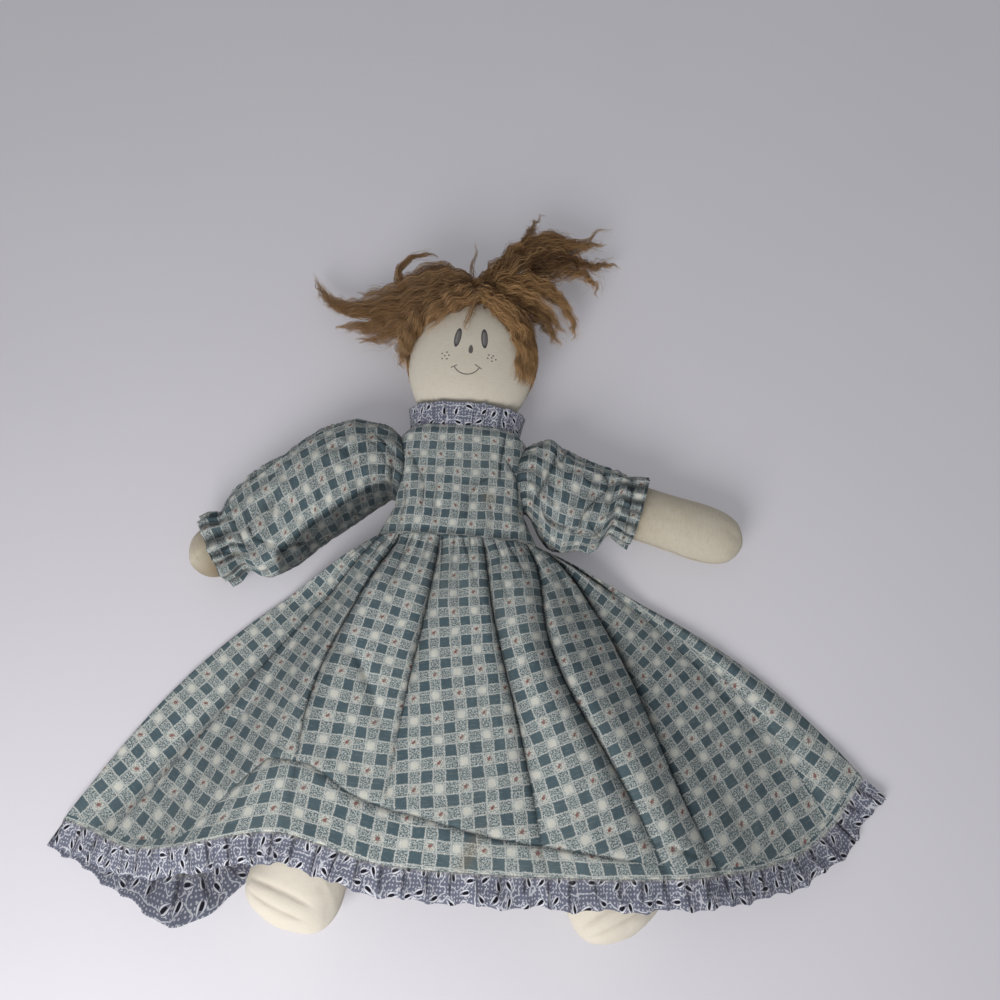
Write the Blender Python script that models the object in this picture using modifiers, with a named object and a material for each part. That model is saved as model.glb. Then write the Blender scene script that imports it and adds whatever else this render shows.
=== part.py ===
"""Rag doll in a gathered check dress, lying on its back.

Metres, +Z up. The doll's head points along +Y and its face looks along +Z. The origin is on the surface
that the doll lies on, right under the fold between the torso and the legs.
"""
import math

import bpy
import bmesh
import numpy as np
from mathutils import Matrix, Vector

# Cloth, skins and clearances
CLEARANCE = 0.0003
WELD = 0.00003
SKIN = 0.0009
DRESS_CLOTH = 0.0010
ELASTIC = 0.0008
OVERRUN = 0.0500

# Torso: a stuffed bag whose lower end is rounded about the hip fold
HIP_AXIS_HEIGHT = 0.0232
TORSO_DEPTH = 0.0440
TORSO_WIDTH = 0.0800
SHOULDER_FROM_HIP = 0.0740
TORSO_LENGTH = 0.0970
TORSO_LEAN_SHARE = -0.0300
NECK_DIAMETER = 0.0280
NECK_FROM_HIP = 0.1000

# Head
HEAD_WIDTH = 0.0930
HEAD_DEPTH = 0.0510
HEAD_LENGTH = 0.1110
HEAD_LIFT = 0.0070
HAIR_BASE = 0.0030
HAIRLINE_FROM_CHIN = 0.0930
NAPE_FROM_CHIN = 0.0190

# Arms
ARM_BALL = 0.0195
ARM_REACH = 0.1515
ARM_WIDTH = 0.0430
ARM_DEPTH = 0.0370
ARM_SLOPE = 0.0050
SHOULDER_HEIGHT = 0.0240
RIGHT_ARM_DROOP = math.radians(31.5)
LEFT_ARM_DROOP = math.radians(13.5)

# Legs
LEG_BALL = 0.0225
RIGHT_LEG_REACH = 0.1960
LEFT_LEG_REACH = 0.2030
LEG_DEPTH = 0.0438
FOOT_WIDTH = 0.0605
HIP_SPREAD = 0.0260
RIGHT_LEG_SPREAD = math.radians(18.6)
LEFT_LEG_SPREAD = math.radians(30.0)
RIGHT_LEG_ROOM = 0.0240
LEFT_LEG_ROOM = 0.0160

# Bodice
WAIST_FROM_HIP = 0.0220
NECKLINE_FROM_HIP = 0.1060
BODICE_WAIST_WIDTH = 0.1180
BODICE_CHEST_WIDTH = 0.0940
BODICE_COLLAR_WIDTH = 0.0820
BODICE_DEPTH = 0.0490
BODICE_COLLAR_DEPTH = 0.0430
ARMHOLE = 0.0370
ARMHOLE_HEIGHT = 0.0260

# Neck ruffle
NECK_RUFFLE_HEIGHT = 0.0170
NECK_RUFFLE_WAVE = 0.0016
NECK_RUFFLE_FLARE = 0.0020
NECK_RUFFLE_WAVES = 16

# Sleeves and their elastics
ELASTIC_WIDTH = 0.0050
ELASTIC_EASE = 0.0006
RIGHT_ELASTIC_REACH_SHARE = 0.78
LEFT_ELASTIC_REACH_SHARE = 0.39
FRILL_LENGTH = 0.0150
FRILL_FLARE = 0.0035
FRILL_WAVE = 0.0016
FRILL_WAVES = 8
FRILL_MIDDLE_SHARES = (0.55, 0.70, 0.80)
ELASTIC_SIDES = 24
SLEEVE_WIDTH = 0.0860
SLEEVE_TOP = 0.0470
SLEEVE_FOLD = 0.0012

# Skirt
SKIRT_WAIST_WIDTH = 0.1200
SKIRT_TOP_HEIGHT = 0.0530
SKIRT_SIDE_HEIGHT = 0.0023
SKIRT_CORNER_HEIGHT = 0.0042
SKIRT_RIGHT_REACH = 0.2460
SKIRT_LEFT_REACH = 0.2880
SKIRT_RIGHT_BULGE = 0.0280
SKIRT_LEFT_BULGE = 0.0360
SKIRT_HEM_FROM_HIP = 0.1850
SKIRT_FOLD = 0.0030
SKIRT_FOLDS = 9
HEM_RUFFLE = 0.0230
HEM_RUFFLE_DROP = 0.0030
HEM_RUFFLE_WAVE = 0.0022
HEM_RUFFLE_WAVES = 20
UNDER_RUFFLE_WAVE = 0.0001
UNDER_RUFFLE_WAVES = 14

# Hair locks: thickness at the thickest, and the size that their routes follow
LOCK_THICKNESS = 0.0240
HAIR_REACH = 0.1000

doll = bpy.data.collections.new("rag_doll")
cutters = bpy.data.collections.new("cutters")


def clear_scene():
    for old in list(bpy.data.objects):
        bpy.data.objects.remove(old, do_unlink=True)
    bpy.context.scene.collection.children.link(doll)
    bpy.context.scene.collection.children.link(cutters)


def finish(name, colour, roughness):
    """A plain cloth-like material."""
    material = bpy.data.materials.new(name)
    material.use_nodes = True
    shader = material.node_tree.nodes["Principled BSDF"]
    shader.inputs["Base Color"].default_value = (*colour, 1.0)
    shader.inputs["Roughness"].default_value = roughness
    shader.inputs["Metallic"].default_value = 0.0
    return material


MUSLIN_COLOUR = (0.78, 0.72, 0.60)
STUFFING_COLOUR = (0.90, 0.89, 0.86)
CHECK_COLOUR = (0.30, 0.40, 0.44)
PAISLEY_COLOUR = (0.22, 0.23, 0.31)
MOHAIR_COLOUR = (0.36, 0.18, 0.07)
RUBBER_COLOUR = (0.80, 0.79, 0.75)


def place(name, mesh, colour, roughness=0.9, at=(0.0, 0.0, 0.0)):
    """A named object in the doll's collection, with its origin at the point `at`."""
    mesh.transform(Matrix.Translation(-Vector(at)))
    mesh.materials.append(finish(name, colour, roughness))
    mesh.shade_smooth()
    thing = bpy.data.objects.new(name, mesh)
    thing.location = at
    doll.objects.link(thing)
    return thing


def cutter(name, mesh):
    thing = bpy.data.objects.new(name, mesh)
    thing.hide_render = True
    thing.display_type = "WIRE"
    cutters.objects.link(thing)
    return thing


def smooth(share):
    share = np.clip(share, 0.0, 1.0)
    return share * share * (3.0 - 2.0 * share)


def subdivide(thing, levels=1):
    modifier = thing.modifiers.new("Subdivision", "SUBSURF")
    modifier.levels = levels
    modifier.render_levels = levels


def thicken(thing, thickness, offset=-1.0):
    modifier = thing.modifiers.new("Wall", "SOLIDIFY")
    modifier.thickness = thickness
    modifier.offset = offset
    modifier.use_even_offset = True


def swell(thing, distance):
    """Moves the whole surface out along its normals, or in where the distance is negative."""
    modifier = thing.modifiers.new("Swell", "DISPLACE")
    modifier.mid_level = 0.0
    modifier.strength = distance


def cut(thing, tool):
    modifier = thing.modifiers.new("Cut", "BOOLEAN")
    modifier.operation = "DIFFERENCE"
    modifier.solver = "EXACT"
    modifier.object = tool


def ring_mesh(name, rings, ends_kept=(True, True)):
    """A loft through rings of points. An end is closed, open, or closed with a "creased" rim.

    rings has the shape (stations, points, 3).
    """
    stations, around = rings.shape[:2]
    shape = bmesh.new()
    crease = shape.edges.layers.float.new("crease_edge")
    points = [shape.verts.new(p) for p in rings.reshape(-1, 3)]
    for station in range(stations - 1):
        low = station * around
        high = low + around
        for k in range(around):
            after = (k + 1) % around
            shape.faces.new([points[low + k], points[low + after], points[high + after], points[high + k]])
    ends = [shape.faces.new(points[:around]), shape.faces.new(points[-around:])]
    bmesh.ops.recalc_face_normals(shape, faces=shape.faces)
    rims = [edge for end, kept in zip(ends, ends_kept) if kept == "creased" for edge in end.edges]
    for edge in rims:
        edge[crease] = 1.0
    loose = [end for end, kept in zip(ends, ends_kept) if not kept]
    bmesh.ops.delete(shape, geom=loose, context="FACES_ONLY")
    mesh = bpy.data.meshes.new(name)
    shape.to_mesh(mesh)
    shape.free()
    return mesh


def sheet_mesh(name, surface, columns, rows):
    """A sheet of cloth: a flat grid whose points move to surface(u, v), u from -1 to 1 and v from 0 to 1."""
    shape = bmesh.new()
    bmesh.ops.create_grid(shape, x_segments=columns, y_segments=rows, size=1.0)
    flat = np.array([vert.co for vert in shape.verts])
    placed = surface(flat[:, 0], (1.0 - flat[:, 1]) / 2.0)
    for vert, point in zip(shape.verts, placed):
        vert.co = point
    mesh = bpy.data.meshes.new(name)
    shape.to_mesh(mesh)
    shape.free()
    return mesh


def section_rings(origin, along, up, stations, around):
    """Oval rings square to `along`. A station holds its distance, half width, half depth and lift.

    A subdivided ring of n points shrinks to (2 + cos(360/n)) / 3 of its size, so the cage is larger by that.
    """
    across = np.cross(up, along)
    grown = 3.0 / (2.0 + math.cos(math.tau / around))
    turn = np.arange(around) * math.tau / around
    rings = []
    for distance, half_width, half_depth, lift in stations:
        middle = np.array(origin) + distance * np.array(along) + lift * np.array(up)
        side = np.outer(grown * half_width * np.cos(turn), across)
        rise = np.outer(grown * half_depth * np.sin(turn), up)
        rings.append(middle + side + rise)
    return np.array(rings)


def ball_stations(radius, width, depth, turns):
    """Stations of a ball's near half: at each turn from the pole, minus cosine along and sine across."""
    return [
        (-radius * math.cos(turn), width * math.sin(turn), depth * math.sin(turn), 0.0)
        for turn in turns
    ]


def stuffed_pair(part, rings, at):
    """A muslin skin that is open at its first ring, and the stuffing that fills it."""
    skin = place(part + "_skin", ring_mesh(part + "_skin", rings, (False, True)), MUSLIN_COLOUR, at=at)
    subdivide(skin)
    thicken(skin, SKIN)
    filling_mesh = ring_mesh(part + "_filling", rings, ("creased", True))
    filling = place(part + "_filling", filling_mesh, STUFFING_COLOUR, at=at)
    subdivide(filling)
    swell(filling, -(SKIN + CLEARANCE))


TORSO_AXIS = (math.sin(math.atan(TORSO_LEAN_SHARE)), math.cos(math.atan(TORSO_LEAN_SHARE)), 0.0)

# Shares of the torso's length, width and depth above the rounded lower end, from the waist to the neck
TORSO_SHARES = ((0.10, 1.08, 1.00), (0.45, 1.00, 1.00), (0.84, 0.99, 0.96), (0.99, 0.66, 0.74))
TORSO_END_TURNS = (math.radians(12.0), math.radians(50.0))
TORSO_END_WIDTH_SHARES = (0.86, 1.10)
NECK_TURNS = (math.radians(66.0), math.radians(14.0))


def torso_rings():
    """The lower end turns about the hip fold, and the neck ends in a dome about the neck's own axis."""
    low = HIP_AXIS_HEIGHT
    half = TORSO_DEPTH / 2.0
    stations = []
    for turn, wide in zip(TORSO_END_TURNS, TORSO_END_WIDTH_SHARES):
        stations.append((-half * math.cos(turn), wide * TORSO_WIDTH / 2.0, half * math.sin(turn), 0.0))
    for along, wide, deep in TORSO_SHARES:
        stations.append((along * TORSO_LENGTH, wide * TORSO_WIDTH / 2.0, deep * half, 0.0))
    neck = NECK_DIAMETER / 2.0
    for turn in NECK_TURNS:
        wide = neck * math.sin(turn)
        stations.append((NECK_FROM_HIP + neck * math.cos(turn), wide, wide, 0.0))
    return section_rings((0.0, 0.0, low), TORSO_AXIS, (0.0, 0.0, 1.0), stations, 8)


def make_torso():
    stuffed_pair("torso", torso_rings(), (0.0, 0.0, HIP_AXIS_HEIGHT))


# Shares of the head's length, half width and half depth, from the chin to the crown
HEAD_SHARES = (
    (0.00, 0.13, 0.16),
    (0.035, 0.62, 0.54),
    (0.16, 0.98, 0.88),
    (0.42, 1.03, 1.02),
    (0.68, 1.02, 1.03),
    (0.90, 0.78, 0.80),
    (0.995, 0.34, 0.36),
)
HEAD_MOUTH = HEAD_SHARES[0][1] * HEAD_WIDTH / 2.0
NECK_DOME = math.sqrt((NECK_DIAMETER / 2.0) ** 2 - HEAD_MOUTH**2)
NECK_PIVOT = (NECK_FROM_HIP * TORSO_AXIS[0], NECK_FROM_HIP * TORSO_AXIS[1], HIP_AXIS_HEIGHT)
CHIN_FROM_HIP = NECK_PIVOT[1] + NECK_DOME + CLEARANCE


def head_rings():
    stations = []
    for along, wide, deep in HEAD_SHARES:
        lift = HEAD_LIFT * float(smooth(along / HEAD_SHARES[2][0]))
        stations.append((along * HEAD_LENGTH, wide * HEAD_WIDTH / 2.0, deep * HEAD_DEPTH / 2.0, lift))
    base = (NECK_PIVOT[0], CHIN_FROM_HIP, HIP_AXIS_HEIGHT)
    return section_rings(base, (0.0, 1.0, 0.0), (0.0, 0.0, 1.0), stations, 8)


def face_cutter():
    """A block over the face, whose back leans from the hairline down to the nape."""
    hairline = Vector((0.0, CHIN_FROM_HIP + HAIRLINE_FROM_CHIN, HIP_AXIS_HEIGHT + HEAD_DEPTH / 2.0))
    nape = Vector((0.0, CHIN_FROM_HIP + NAPE_FROM_CHIN, HIP_AXIS_HEIGHT - HEAD_DEPTH / 2.0))
    lean = math.atan2(hairline.y - nape.y, hairline.z - nape.z)
    reach = HEAD_LENGTH + OVERRUN
    shape = bmesh.new()
    bmesh.ops.create_cube(shape, size=2.0 * reach)
    bmesh.ops.translate(shape, verts=shape.verts, vec=(0.0, -reach, 0.0))
    mesh = bpy.data.meshes.new("face_opening")
    shape.to_mesh(mesh)
    shape.free()
    tool = cutter("face_opening", mesh)
    tool.matrix_world = Matrix.Translation((hairline + nape) / 2.0) @ Matrix.Rotation(-lean, 4, "X")
    return tool


def make_head():
    stuffed_pair("head", head_rings(), NECK_PIVOT)
    mesh = ring_mesh("hair_base", head_rings(), (False, True))
    base = place("hair_base", mesh, MOHAIR_COLOUR, at=NECK_PIVOT)
    subdivide(base)
    swell(base, CLEARANCE)
    thicken(base, HAIR_BASE, 1.0)
    cut(base, face_cutter())


# Each lock: its name, then its route and thickness as shares, from its root on the head to its tip.
# The route is in shares of HAIR_REACH across, up the doll from the crown's middle and off the surface.
LOCKS = {
    "right_bunch_upper_lock": (
        (-0.20, 0.00, 0.30, 0.80),
        (-0.52, 0.16, 0.28, 1.00),
        (-0.86, 0.08, 0.20, 0.80),
        (-1.15, 0.10, 0.13, 0.50),
        (-1.42, 0.24, 0.08, 0.14),
    ),
    "right_bunch_lower_lock": (
        (-0.36, -0.16, 0.24, 0.70),
        (-0.62, -0.13, 0.17, 0.80),
        (-0.90, -0.22, 0.10, 0.56),
        (-1.14, -0.26, 0.05, 0.14),
    ),
    "right_looped_lock": (
        (-0.27, -0.10, 0.44, 0.30),
        (-0.42, 0.04, 0.49, 0.32),
        (-0.56, 0.22, 0.49, 0.34),
        (-0.57, 0.36, 0.45, 0.30),
        (-0.42, 0.42, 0.38, 0.24),
        (-0.28, 0.38, 0.32, 0.12),
    ),
    "right_temple_lock": (
        (-0.34, -0.15, 0.40, 0.40),
        (-0.48, -0.26, 0.38, 0.52),
        (-0.52, -0.40, 0.35, 0.50),
        (-0.50, -0.60, 0.33, 0.16),
    ),
    "left_bunch_spike_lock": (
        (0.08, -0.02, 0.32, 0.70),
        (0.20, 0.28, 0.30, 0.76),
        (0.30, 0.54, 0.22, 0.56),
        (0.38, 0.76, 0.14, 0.34),
        (0.46, 0.96, 0.08, 0.12),
    ),
    "left_bunch_arched_lock": (
        (0.26, -0.02, 0.34, 0.60),
        (0.50, 0.20, 0.30, 0.74),
        (0.72, 0.44, 0.22, 0.64),
        (0.94, 0.54, 0.13, 0.40),
        (1.16, 0.68, 0.07, 0.12),
    ),
    "left_bunch_outer_lock": (
        (0.34, -0.12, 0.22, 0.60),
        (0.62, 0.08, 0.18, 0.70),
        (0.88, 0.24, 0.12, 0.50),
        (1.14, 0.40, 0.06, 0.14),
    ),
    "left_bunch_lower_lock": (
        (0.36, -0.29, 0.24, 0.60),
        (0.58, -0.22, 0.15, 0.66),
        (0.72, -0.32, 0.10, 0.44),
        (0.66, -0.50, 0.05, 0.14),
    ),
    "left_cheek_lock": (
        (0.34, -0.04, 0.44, 0.50),
        (0.50, -0.22, 0.44, 0.66),
        (0.55, -0.50, 0.40, 0.74),
        (0.50, -0.84, 0.38, 0.60),
    ),
    "right_forehead_lock": (
        (-0.04, 0.00, 0.46, 0.34),
        (-0.20, -0.08, 0.575, 0.42),
        (-0.34, -0.24, 0.575, 0.34),
        (-0.42, -0.42, 0.52, 0.12),
    ),
    "left_forehead_lock": (
        (0.06, 0.00, 0.46, 0.34),
        (0.20, -0.08, 0.575, 0.42),
        (0.33, -0.24, 0.570, 0.34),
        (0.38, -0.44, 0.52, 0.12),
    ),
}
LOCK_POINTS = 9
CROWN_FROM_HIP = CHIN_FROM_HIP + HEAD_LENGTH


def through(points, count):
    """Points spread along a Catmull-Rom curve through the given ones."""
    known = np.array(points, dtype=float)
    ends = np.vstack([2.0 * known[0] - known[1], known, 2.0 * known[-1] - known[-2]])
    place_on = np.linspace(0.0, len(known) - 1.0, count)
    step = np.minimum(place_on.astype(int), len(known) - 2)
    t = (place_on - step)[:, None]
    a, b, c, d = ends[step], ends[step + 1], ends[step + 2], ends[step + 3]
    slope = (c - a) / 2.0
    bend = a - 2.5 * b + 2.0 * c - d / 2.0
    twist = (d - a) / 2.0 + 1.5 * (b - c)
    return b + slope * t + bend * t**2 + twist * t**3


def tapered_tube(name, route):
    """A capped mesh tube along a route of points with their radii, made from a bevelled curve."""
    curve = bpy.data.curves.new(name, "CURVE")
    curve.dimensions = "3D"
    curve.bevel_depth = LOCK_THICKNESS / 2.0
    curve.bevel_resolution = 2
    curve.use_fill_caps = True
    spline = curve.splines.new("POLY")
    spline.points.add(len(route) - 1)
    for point, (x, y, z, radius) in zip(spline.points, route):
        point.co = (x, y, z, 1.0)
        point.radius = radius
    drawn = bpy.data.objects.new(name + "_curve", curve)
    bpy.context.scene.collection.objects.link(drawn)
    bpy.context.view_layer.update()
    seen = drawn.evaluated_get(bpy.context.evaluated_depsgraph_get())
    mesh = bpy.data.meshes.new_from_object(seen)
    mesh.name = name
    mesh.materials.clear()
    bpy.data.objects.remove(drawn, do_unlink=True)
    shape = bmesh.new()
    shape.from_mesh(mesh)
    bmesh.ops.remove_doubles(shape, verts=shape.verts, dist=WELD)
    bmesh.ops.recalc_face_normals(shape, faces=shape.faces)
    shape.to_mesh(mesh)
    shape.free()
    return mesh


def make_locks():
    """Each lock starts inside the hair base and is cut back to lie on it."""
    tool = cutter("hair_seat", ring_mesh("hair_seat", head_rings(), ("creased", True)))
    subdivide(tool)
    swell(tool, HAIR_BASE + 2.0 * CLEARANCE)
    crown = (NECK_PIVOT[0], CROWN_FROM_HIP, 0.0)
    for name, shares in LOCKS.items():
        route = [(*(np.array(crown) + HAIR_REACH * np.array(share[:3])), share[3]) for share in shares]
        mesh = tapered_tube(name, through(route, LOCK_POINTS))
        cut(place(name, mesh, MOHAIR_COLOUR, at=NECK_PIVOT), tool)


# Shares of the arm's reach, half width and half depth past the shoulder ball, to the hand's tip
ARM_SHARES = (
    (0.28, 0.94, 1.00),
    (0.62, 0.92, 0.92),
    (0.84, 1.04, 0.86),
    (0.96, 0.80, 0.62),
    (1.00, 0.28, 0.22),
)
BALL_TURNS = (math.radians(8.0), math.radians(42.0), math.radians(84.0))
SHOULDER_FROM_MIDDLE = TORSO_WIDTH / 2.0 + CLEARANCE + ARM_BALL


def shoulder(side):
    """The shoulder ball's middle, just off the leaning torso's side."""
    across = side * SHOULDER_FROM_MIDDLE + TORSO_LEAN_SHARE * SHOULDER_FROM_HIP
    return (across, SHOULDER_FROM_HIP, SHOULDER_HEIGHT)


def arm_direction(side, droop):
    return np.array((side * math.cos(droop), -math.sin(droop), 0.0))


def arm_drop(distance):
    """How far the arm's middle has come down at a distance from the shoulder. The arm rests on its hand."""
    return -ARM_SLOPE * distance / ARM_REACH


def arm_half_sizes(distance):
    """Half width and half depth of the arm at a distance from the shoulder's pivot."""
    along, wide, deep = np.array(ARM_SHARES).T
    wide = np.interp(distance / ARM_REACH, along, wide)
    deep = np.interp(distance / ARM_REACH, along, deep)
    return wide * ARM_WIDTH / 2.0, deep * ARM_DEPTH / 2.0


def make_arm(part, side, droop):
    pivot = shoulder(side)
    stations = ball_stations(ARM_BALL, ARM_BALL, ARM_BALL, BALL_TURNS)
    for along, wide, deep in ARM_SHARES:
        distance = along * ARM_REACH
        stations.append((distance, wide * ARM_WIDTH / 2.0, deep * ARM_DEPTH / 2.0, arm_drop(distance)))
    rings = section_rings(pivot, arm_direction(side, droop), (0.0, 0.0, 1.0), stations, 8)
    stuffed_pair(part, rings, pivot)


# Shares of the leg's reach, half width and half depth past the hip ball, to the toes
LEG_SHARES = (
    (0.30, 0.80, 1.00),
    (0.68, 0.74, 0.96),
    (0.88, 1.00, 1.00),
    (0.97, 0.84, 0.80),
    (1.00, 0.34, 0.34),
)
LEG_PIVOT_FROM_HIP = TORSO_DEPTH / 2.0 + CLEARANCE + LEG_BALL


def make_leg(part, side, spread, reach):
    pivot = (side * HIP_SPREAD, -LEG_PIVOT_FROM_HIP, HIP_AXIS_HEIGHT)
    direction = np.array((side * math.sin(spread), -math.cos(spread), 0.0))
    ball = LEG_BALL
    depth = LEG_DEPTH / 2.0
    stations = ball_stations(ball, ball, depth, BALL_TURNS)
    for along, wide, deep in LEG_SHARES:
        stations.append((along * reach, wide * FOOT_WIDTH / 2.0, deep * depth, 0.0))
    rings = section_rings(pivot, direction, (0.0, 0.0, 1.0), stations, 6)
    stuffed_pair(part, rings, pivot)


def oval(turn, half_width, half_depth, power):
    """Points of a rounded outline. A higher power makes it squarer."""
    reach = 2.0 / power
    across = half_width * np.sign(np.cos(turn)) * np.abs(np.cos(turn)) ** reach
    rise = half_depth * np.sign(np.sin(turn)) * np.abs(np.sin(turn)) ** reach
    return across, rise


# How square an outline is: 2 for an ellipse, more where the cloth lies flat on the surface
BODICE_FRONT_POWER = 2.7
SKIRT_TOP_POWER = 2.0
BODICE_UNDER_POWER = 3.2
SLEEVE_POWER = 2.3
BODICE_MIDDLE = BODICE_DEPTH / 2.0

# Shares of the bodice's length at which its width and depth are known, from the waist to the collar
BODICE_LENGTH_SHARES = (0.0, 0.28, 0.92, 1.0)
BODICE_WIDTHS = (BODICE_WAIST_WIDTH, BODICE_CHEST_WIDTH, BODICE_CHEST_WIDTH, BODICE_COLLAR_WIDTH)
BODICE_DEPTHS = (BODICE_DEPTH, BODICE_DEPTH, BODICE_DEPTH, BODICE_COLLAR_DEPTH)


def bodice_size(share):
    """Half width and half depth of the bodice, from the waist (0) to the collar (1)."""
    width = np.interp(share, BODICE_LENGTH_SHARES, BODICE_WIDTHS)
    depth = np.interp(share, BODICE_LENGTH_SHARES, BODICE_DEPTHS)
    return width / 2.0, depth / 2.0


def bodice_half(front):
    """Half of the bodice, from one side seam over the torso to the other."""

    def surface(u, v):
        half_width, half_depth = bodice_size(1.0 - v)
        seam = math.asin(CLEARANCE / BODICE_DEPTH)
        turn = math.pi / 2.0 * (1.0 - u) * (1.0 - 2.0 * seam / math.pi) + seam
        squarer = smooth((1.0 - v) / BODICE_LENGTH_SHARES[1])
        upper = SKIRT_TOP_POWER + (BODICE_FRONT_POWER - SKIRT_TOP_POWER) * squarer
        across, rise = oval(turn, half_width, half_depth, upper if front else BODICE_UNDER_POWER)
        length = NECKLINE_FROM_HIP - WAIST_FROM_HIP - 2.0 * CLEARANCE
        along = WAIST_FROM_HIP + CLEARANCE + length * (1.0 - v)
        across = across + TORSO_LEAN_SHARE * along
        return np.column_stack([across, along, BODICE_MIDDLE + (rise if front else -rise)])

    return surface


def armhole_cutter(part, side):
    shape = bmesh.new()
    radius = ARMHOLE / 2.0
    depth = BODICE_WAIST_WIDTH / 2.0
    bmesh.ops.create_cone(shape, cap_ends=True, segments=24, radius1=radius, radius2=radius, depth=depth)
    mesh = bpy.data.meshes.new(part)
    shape.to_mesh(mesh)
    shape.free()
    tool = cutter(part, mesh)
    reach = TORSO_WIDTH / 4.0 + BODICE_WAIST_WIDTH / 4.0
    tool.location = (side * reach, SHOULDER_FROM_HIP, ARMHOLE_HEIGHT)
    tool.rotation_euler = (0.0, math.pi / 2.0, 0.0)
    return tool


def make_bodice():
    at = (0.0, 0.0, HIP_AXIS_HEIGHT)
    holes = [armhole_cutter("right_armhole", -1.0), armhole_cutter("left_armhole", 1.0)]
    for name, front in (("bodice_front", True), ("bodice_back", False)):
        mesh = sheet_mesh(name, bodice_half(front), 14, 5)
        if not front:
            mesh.flip_normals()
        panel = place(name, mesh, CHECK_COLOUR, at=at)
        thicken(panel, DRESS_CLOTH)
        for hole in holes:
            cut(panel, hole)


def make_neck_ruffle():
    """A gathered strip around the neck: its lower edge follows the bodice, and its upper edge waves."""
    rows = 3
    around = 6 * NECK_RUFFLE_WAVES
    turn = np.arange(around) * math.tau / around
    rings = []
    for row in range(rows):
        share = row / (rows - 1.0)
        wave = NECK_RUFFLE_WAVE * smooth(share) * np.cos(NECK_RUFFLE_WAVES * turn)
        out = NECK_RUFFLE_FLARE * share + wave
        across = NECK_PIVOT[0] + (BODICE_COLLAR_WIDTH / 2.0 + out) * np.cos(turn)
        rise = (BODICE_COLLAR_DEPTH / 2.0 + out) * np.sin(turn)
        along = np.full(around, NECKLINE_FROM_HIP + share * NECK_RUFFLE_HEIGHT)
        height = np.maximum(BODICE_MIDDLE + rise, DRESS_CLOTH)
        rings.append(np.column_stack([across, along, height]))
    mesh = ring_mesh("neck_ruffle", np.array(rings), (False, False))
    ruffle = place("neck_ruffle", mesh, PAISLEY_COLOUR, at=NECK_PIVOT)
    thicken(ruffle, DRESS_CLOTH)


# Sleeve outlines as the arm lies: along the arm in shares of the way from the pivot to the elastic,
# then the head-side and foot-side edges off the arm's middle in shares of SLEEVE_WIDTH, the upper
# face's height in shares of SLEEVE_TOP and the share of the armhole's own direction.
RIGHT_SLEEVE_SHARES = (
    (-0.136, 0.23, -0.29, 0.98, 1.0),
    (0.06, 0.48, -0.30, 1.04, 0.6),
    (0.26, 0.55, -0.33, 1.08, 0.25),
    (0.50, 0.49, -0.37, 1.03, 0.1),
    (0.72, 0.46, -0.43, 0.94, 0.0),
    (0.90, 0.37, -0.41, 0.88, 0.0),
)
LEFT_SLEEVE_SHARES = (
    (-0.211, 0.27, -0.24, 0.98, 1.0),
    (0.06, 0.34, -0.52, 1.02, 1.0),
    (0.34, 0.30, -0.55, 1.04, 0.6),
    (0.62, 0.27, -0.49, 1.00, 0.0),
    (0.86, 0.28, -0.44, 0.92, 0.0),
)


def sleeve_rings(side, droop, shares, elastic_reach):
    """Rings around the arm: puffed from the armhole, drawn in at the elastic and flared in a frill."""
    pivot = np.array((*shoulder(side)[:2], 0.0))
    along = arm_direction(side, droop)
    square = np.array((side * math.sin(droop), math.cos(droop), 0.0))
    around = 4 * FRILL_WAVES
    turn = np.arange(around) * math.tau / around
    floor = DRESS_CLOTH + CLEARANCE
    rings = []
    for far, head_edge, foot_edge, top, turned in shares:
        middle = SLEEVE_WIDTH * (head_edge + foot_edge) / 2.0
        half_width = SLEEVE_WIDTH * (head_edge - foot_edge) / 2.0
        across = turned * np.array((0.0, 1.0, 0.0)) + (1.0 - turned) * square
        across = across / np.linalg.norm(across)
        height = top * SLEEVE_TOP
        folds = SLEEVE_FOLD * float(smooth(far)) * np.cos(FRILL_WAVES * turn)
        wide, rise = oval(turn, half_width, height / 2.0 - floor / 2.0, SLEEVE_POWER)
        centre = pivot + far * elastic_reach * along + middle * across
        ring = centre + np.outer(wide + folds * np.cos(turn), across)
        ring[:, 2] = (height + floor) / 2.0 + rise + np.abs(folds) * np.sin(turn)
        rings.append(ring)
    hold = ELASTIC_EASE + ELASTIC + CLEARANCE + DRESS_CLOTH
    along_share, flare_share, wave_share = FRILL_MIDDLE_SHARES
    ends = (
        (elastic_reach - ELASTIC_WIDTH / 2.0, 0.0, 0.0),
        (elastic_reach + ELASTIC_WIDTH / 2.0, 0.0, 0.0),
        (elastic_reach + along_share * FRILL_LENGTH, flare_share * FRILL_FLARE, wave_share * FRILL_WAVE),
        (elastic_reach + FRILL_LENGTH, FRILL_FLARE, FRILL_WAVE),
    )
    for distance, flare, wave in ends:
        half_width, half_depth = arm_half_sizes(distance)
        out = hold + flare + wave * np.cos(FRILL_WAVES * turn)
        ring = pivot + distance * along + np.outer((half_width + out) * np.cos(turn), square)
        ring[:, 2] = SHOULDER_HEIGHT + arm_drop(distance) + (half_depth + out) * np.sin(turn)
        ring[:, 2] = np.maximum(ring[:, 2], floor)
        rings.append(ring)
    return np.array(rings)


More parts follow.
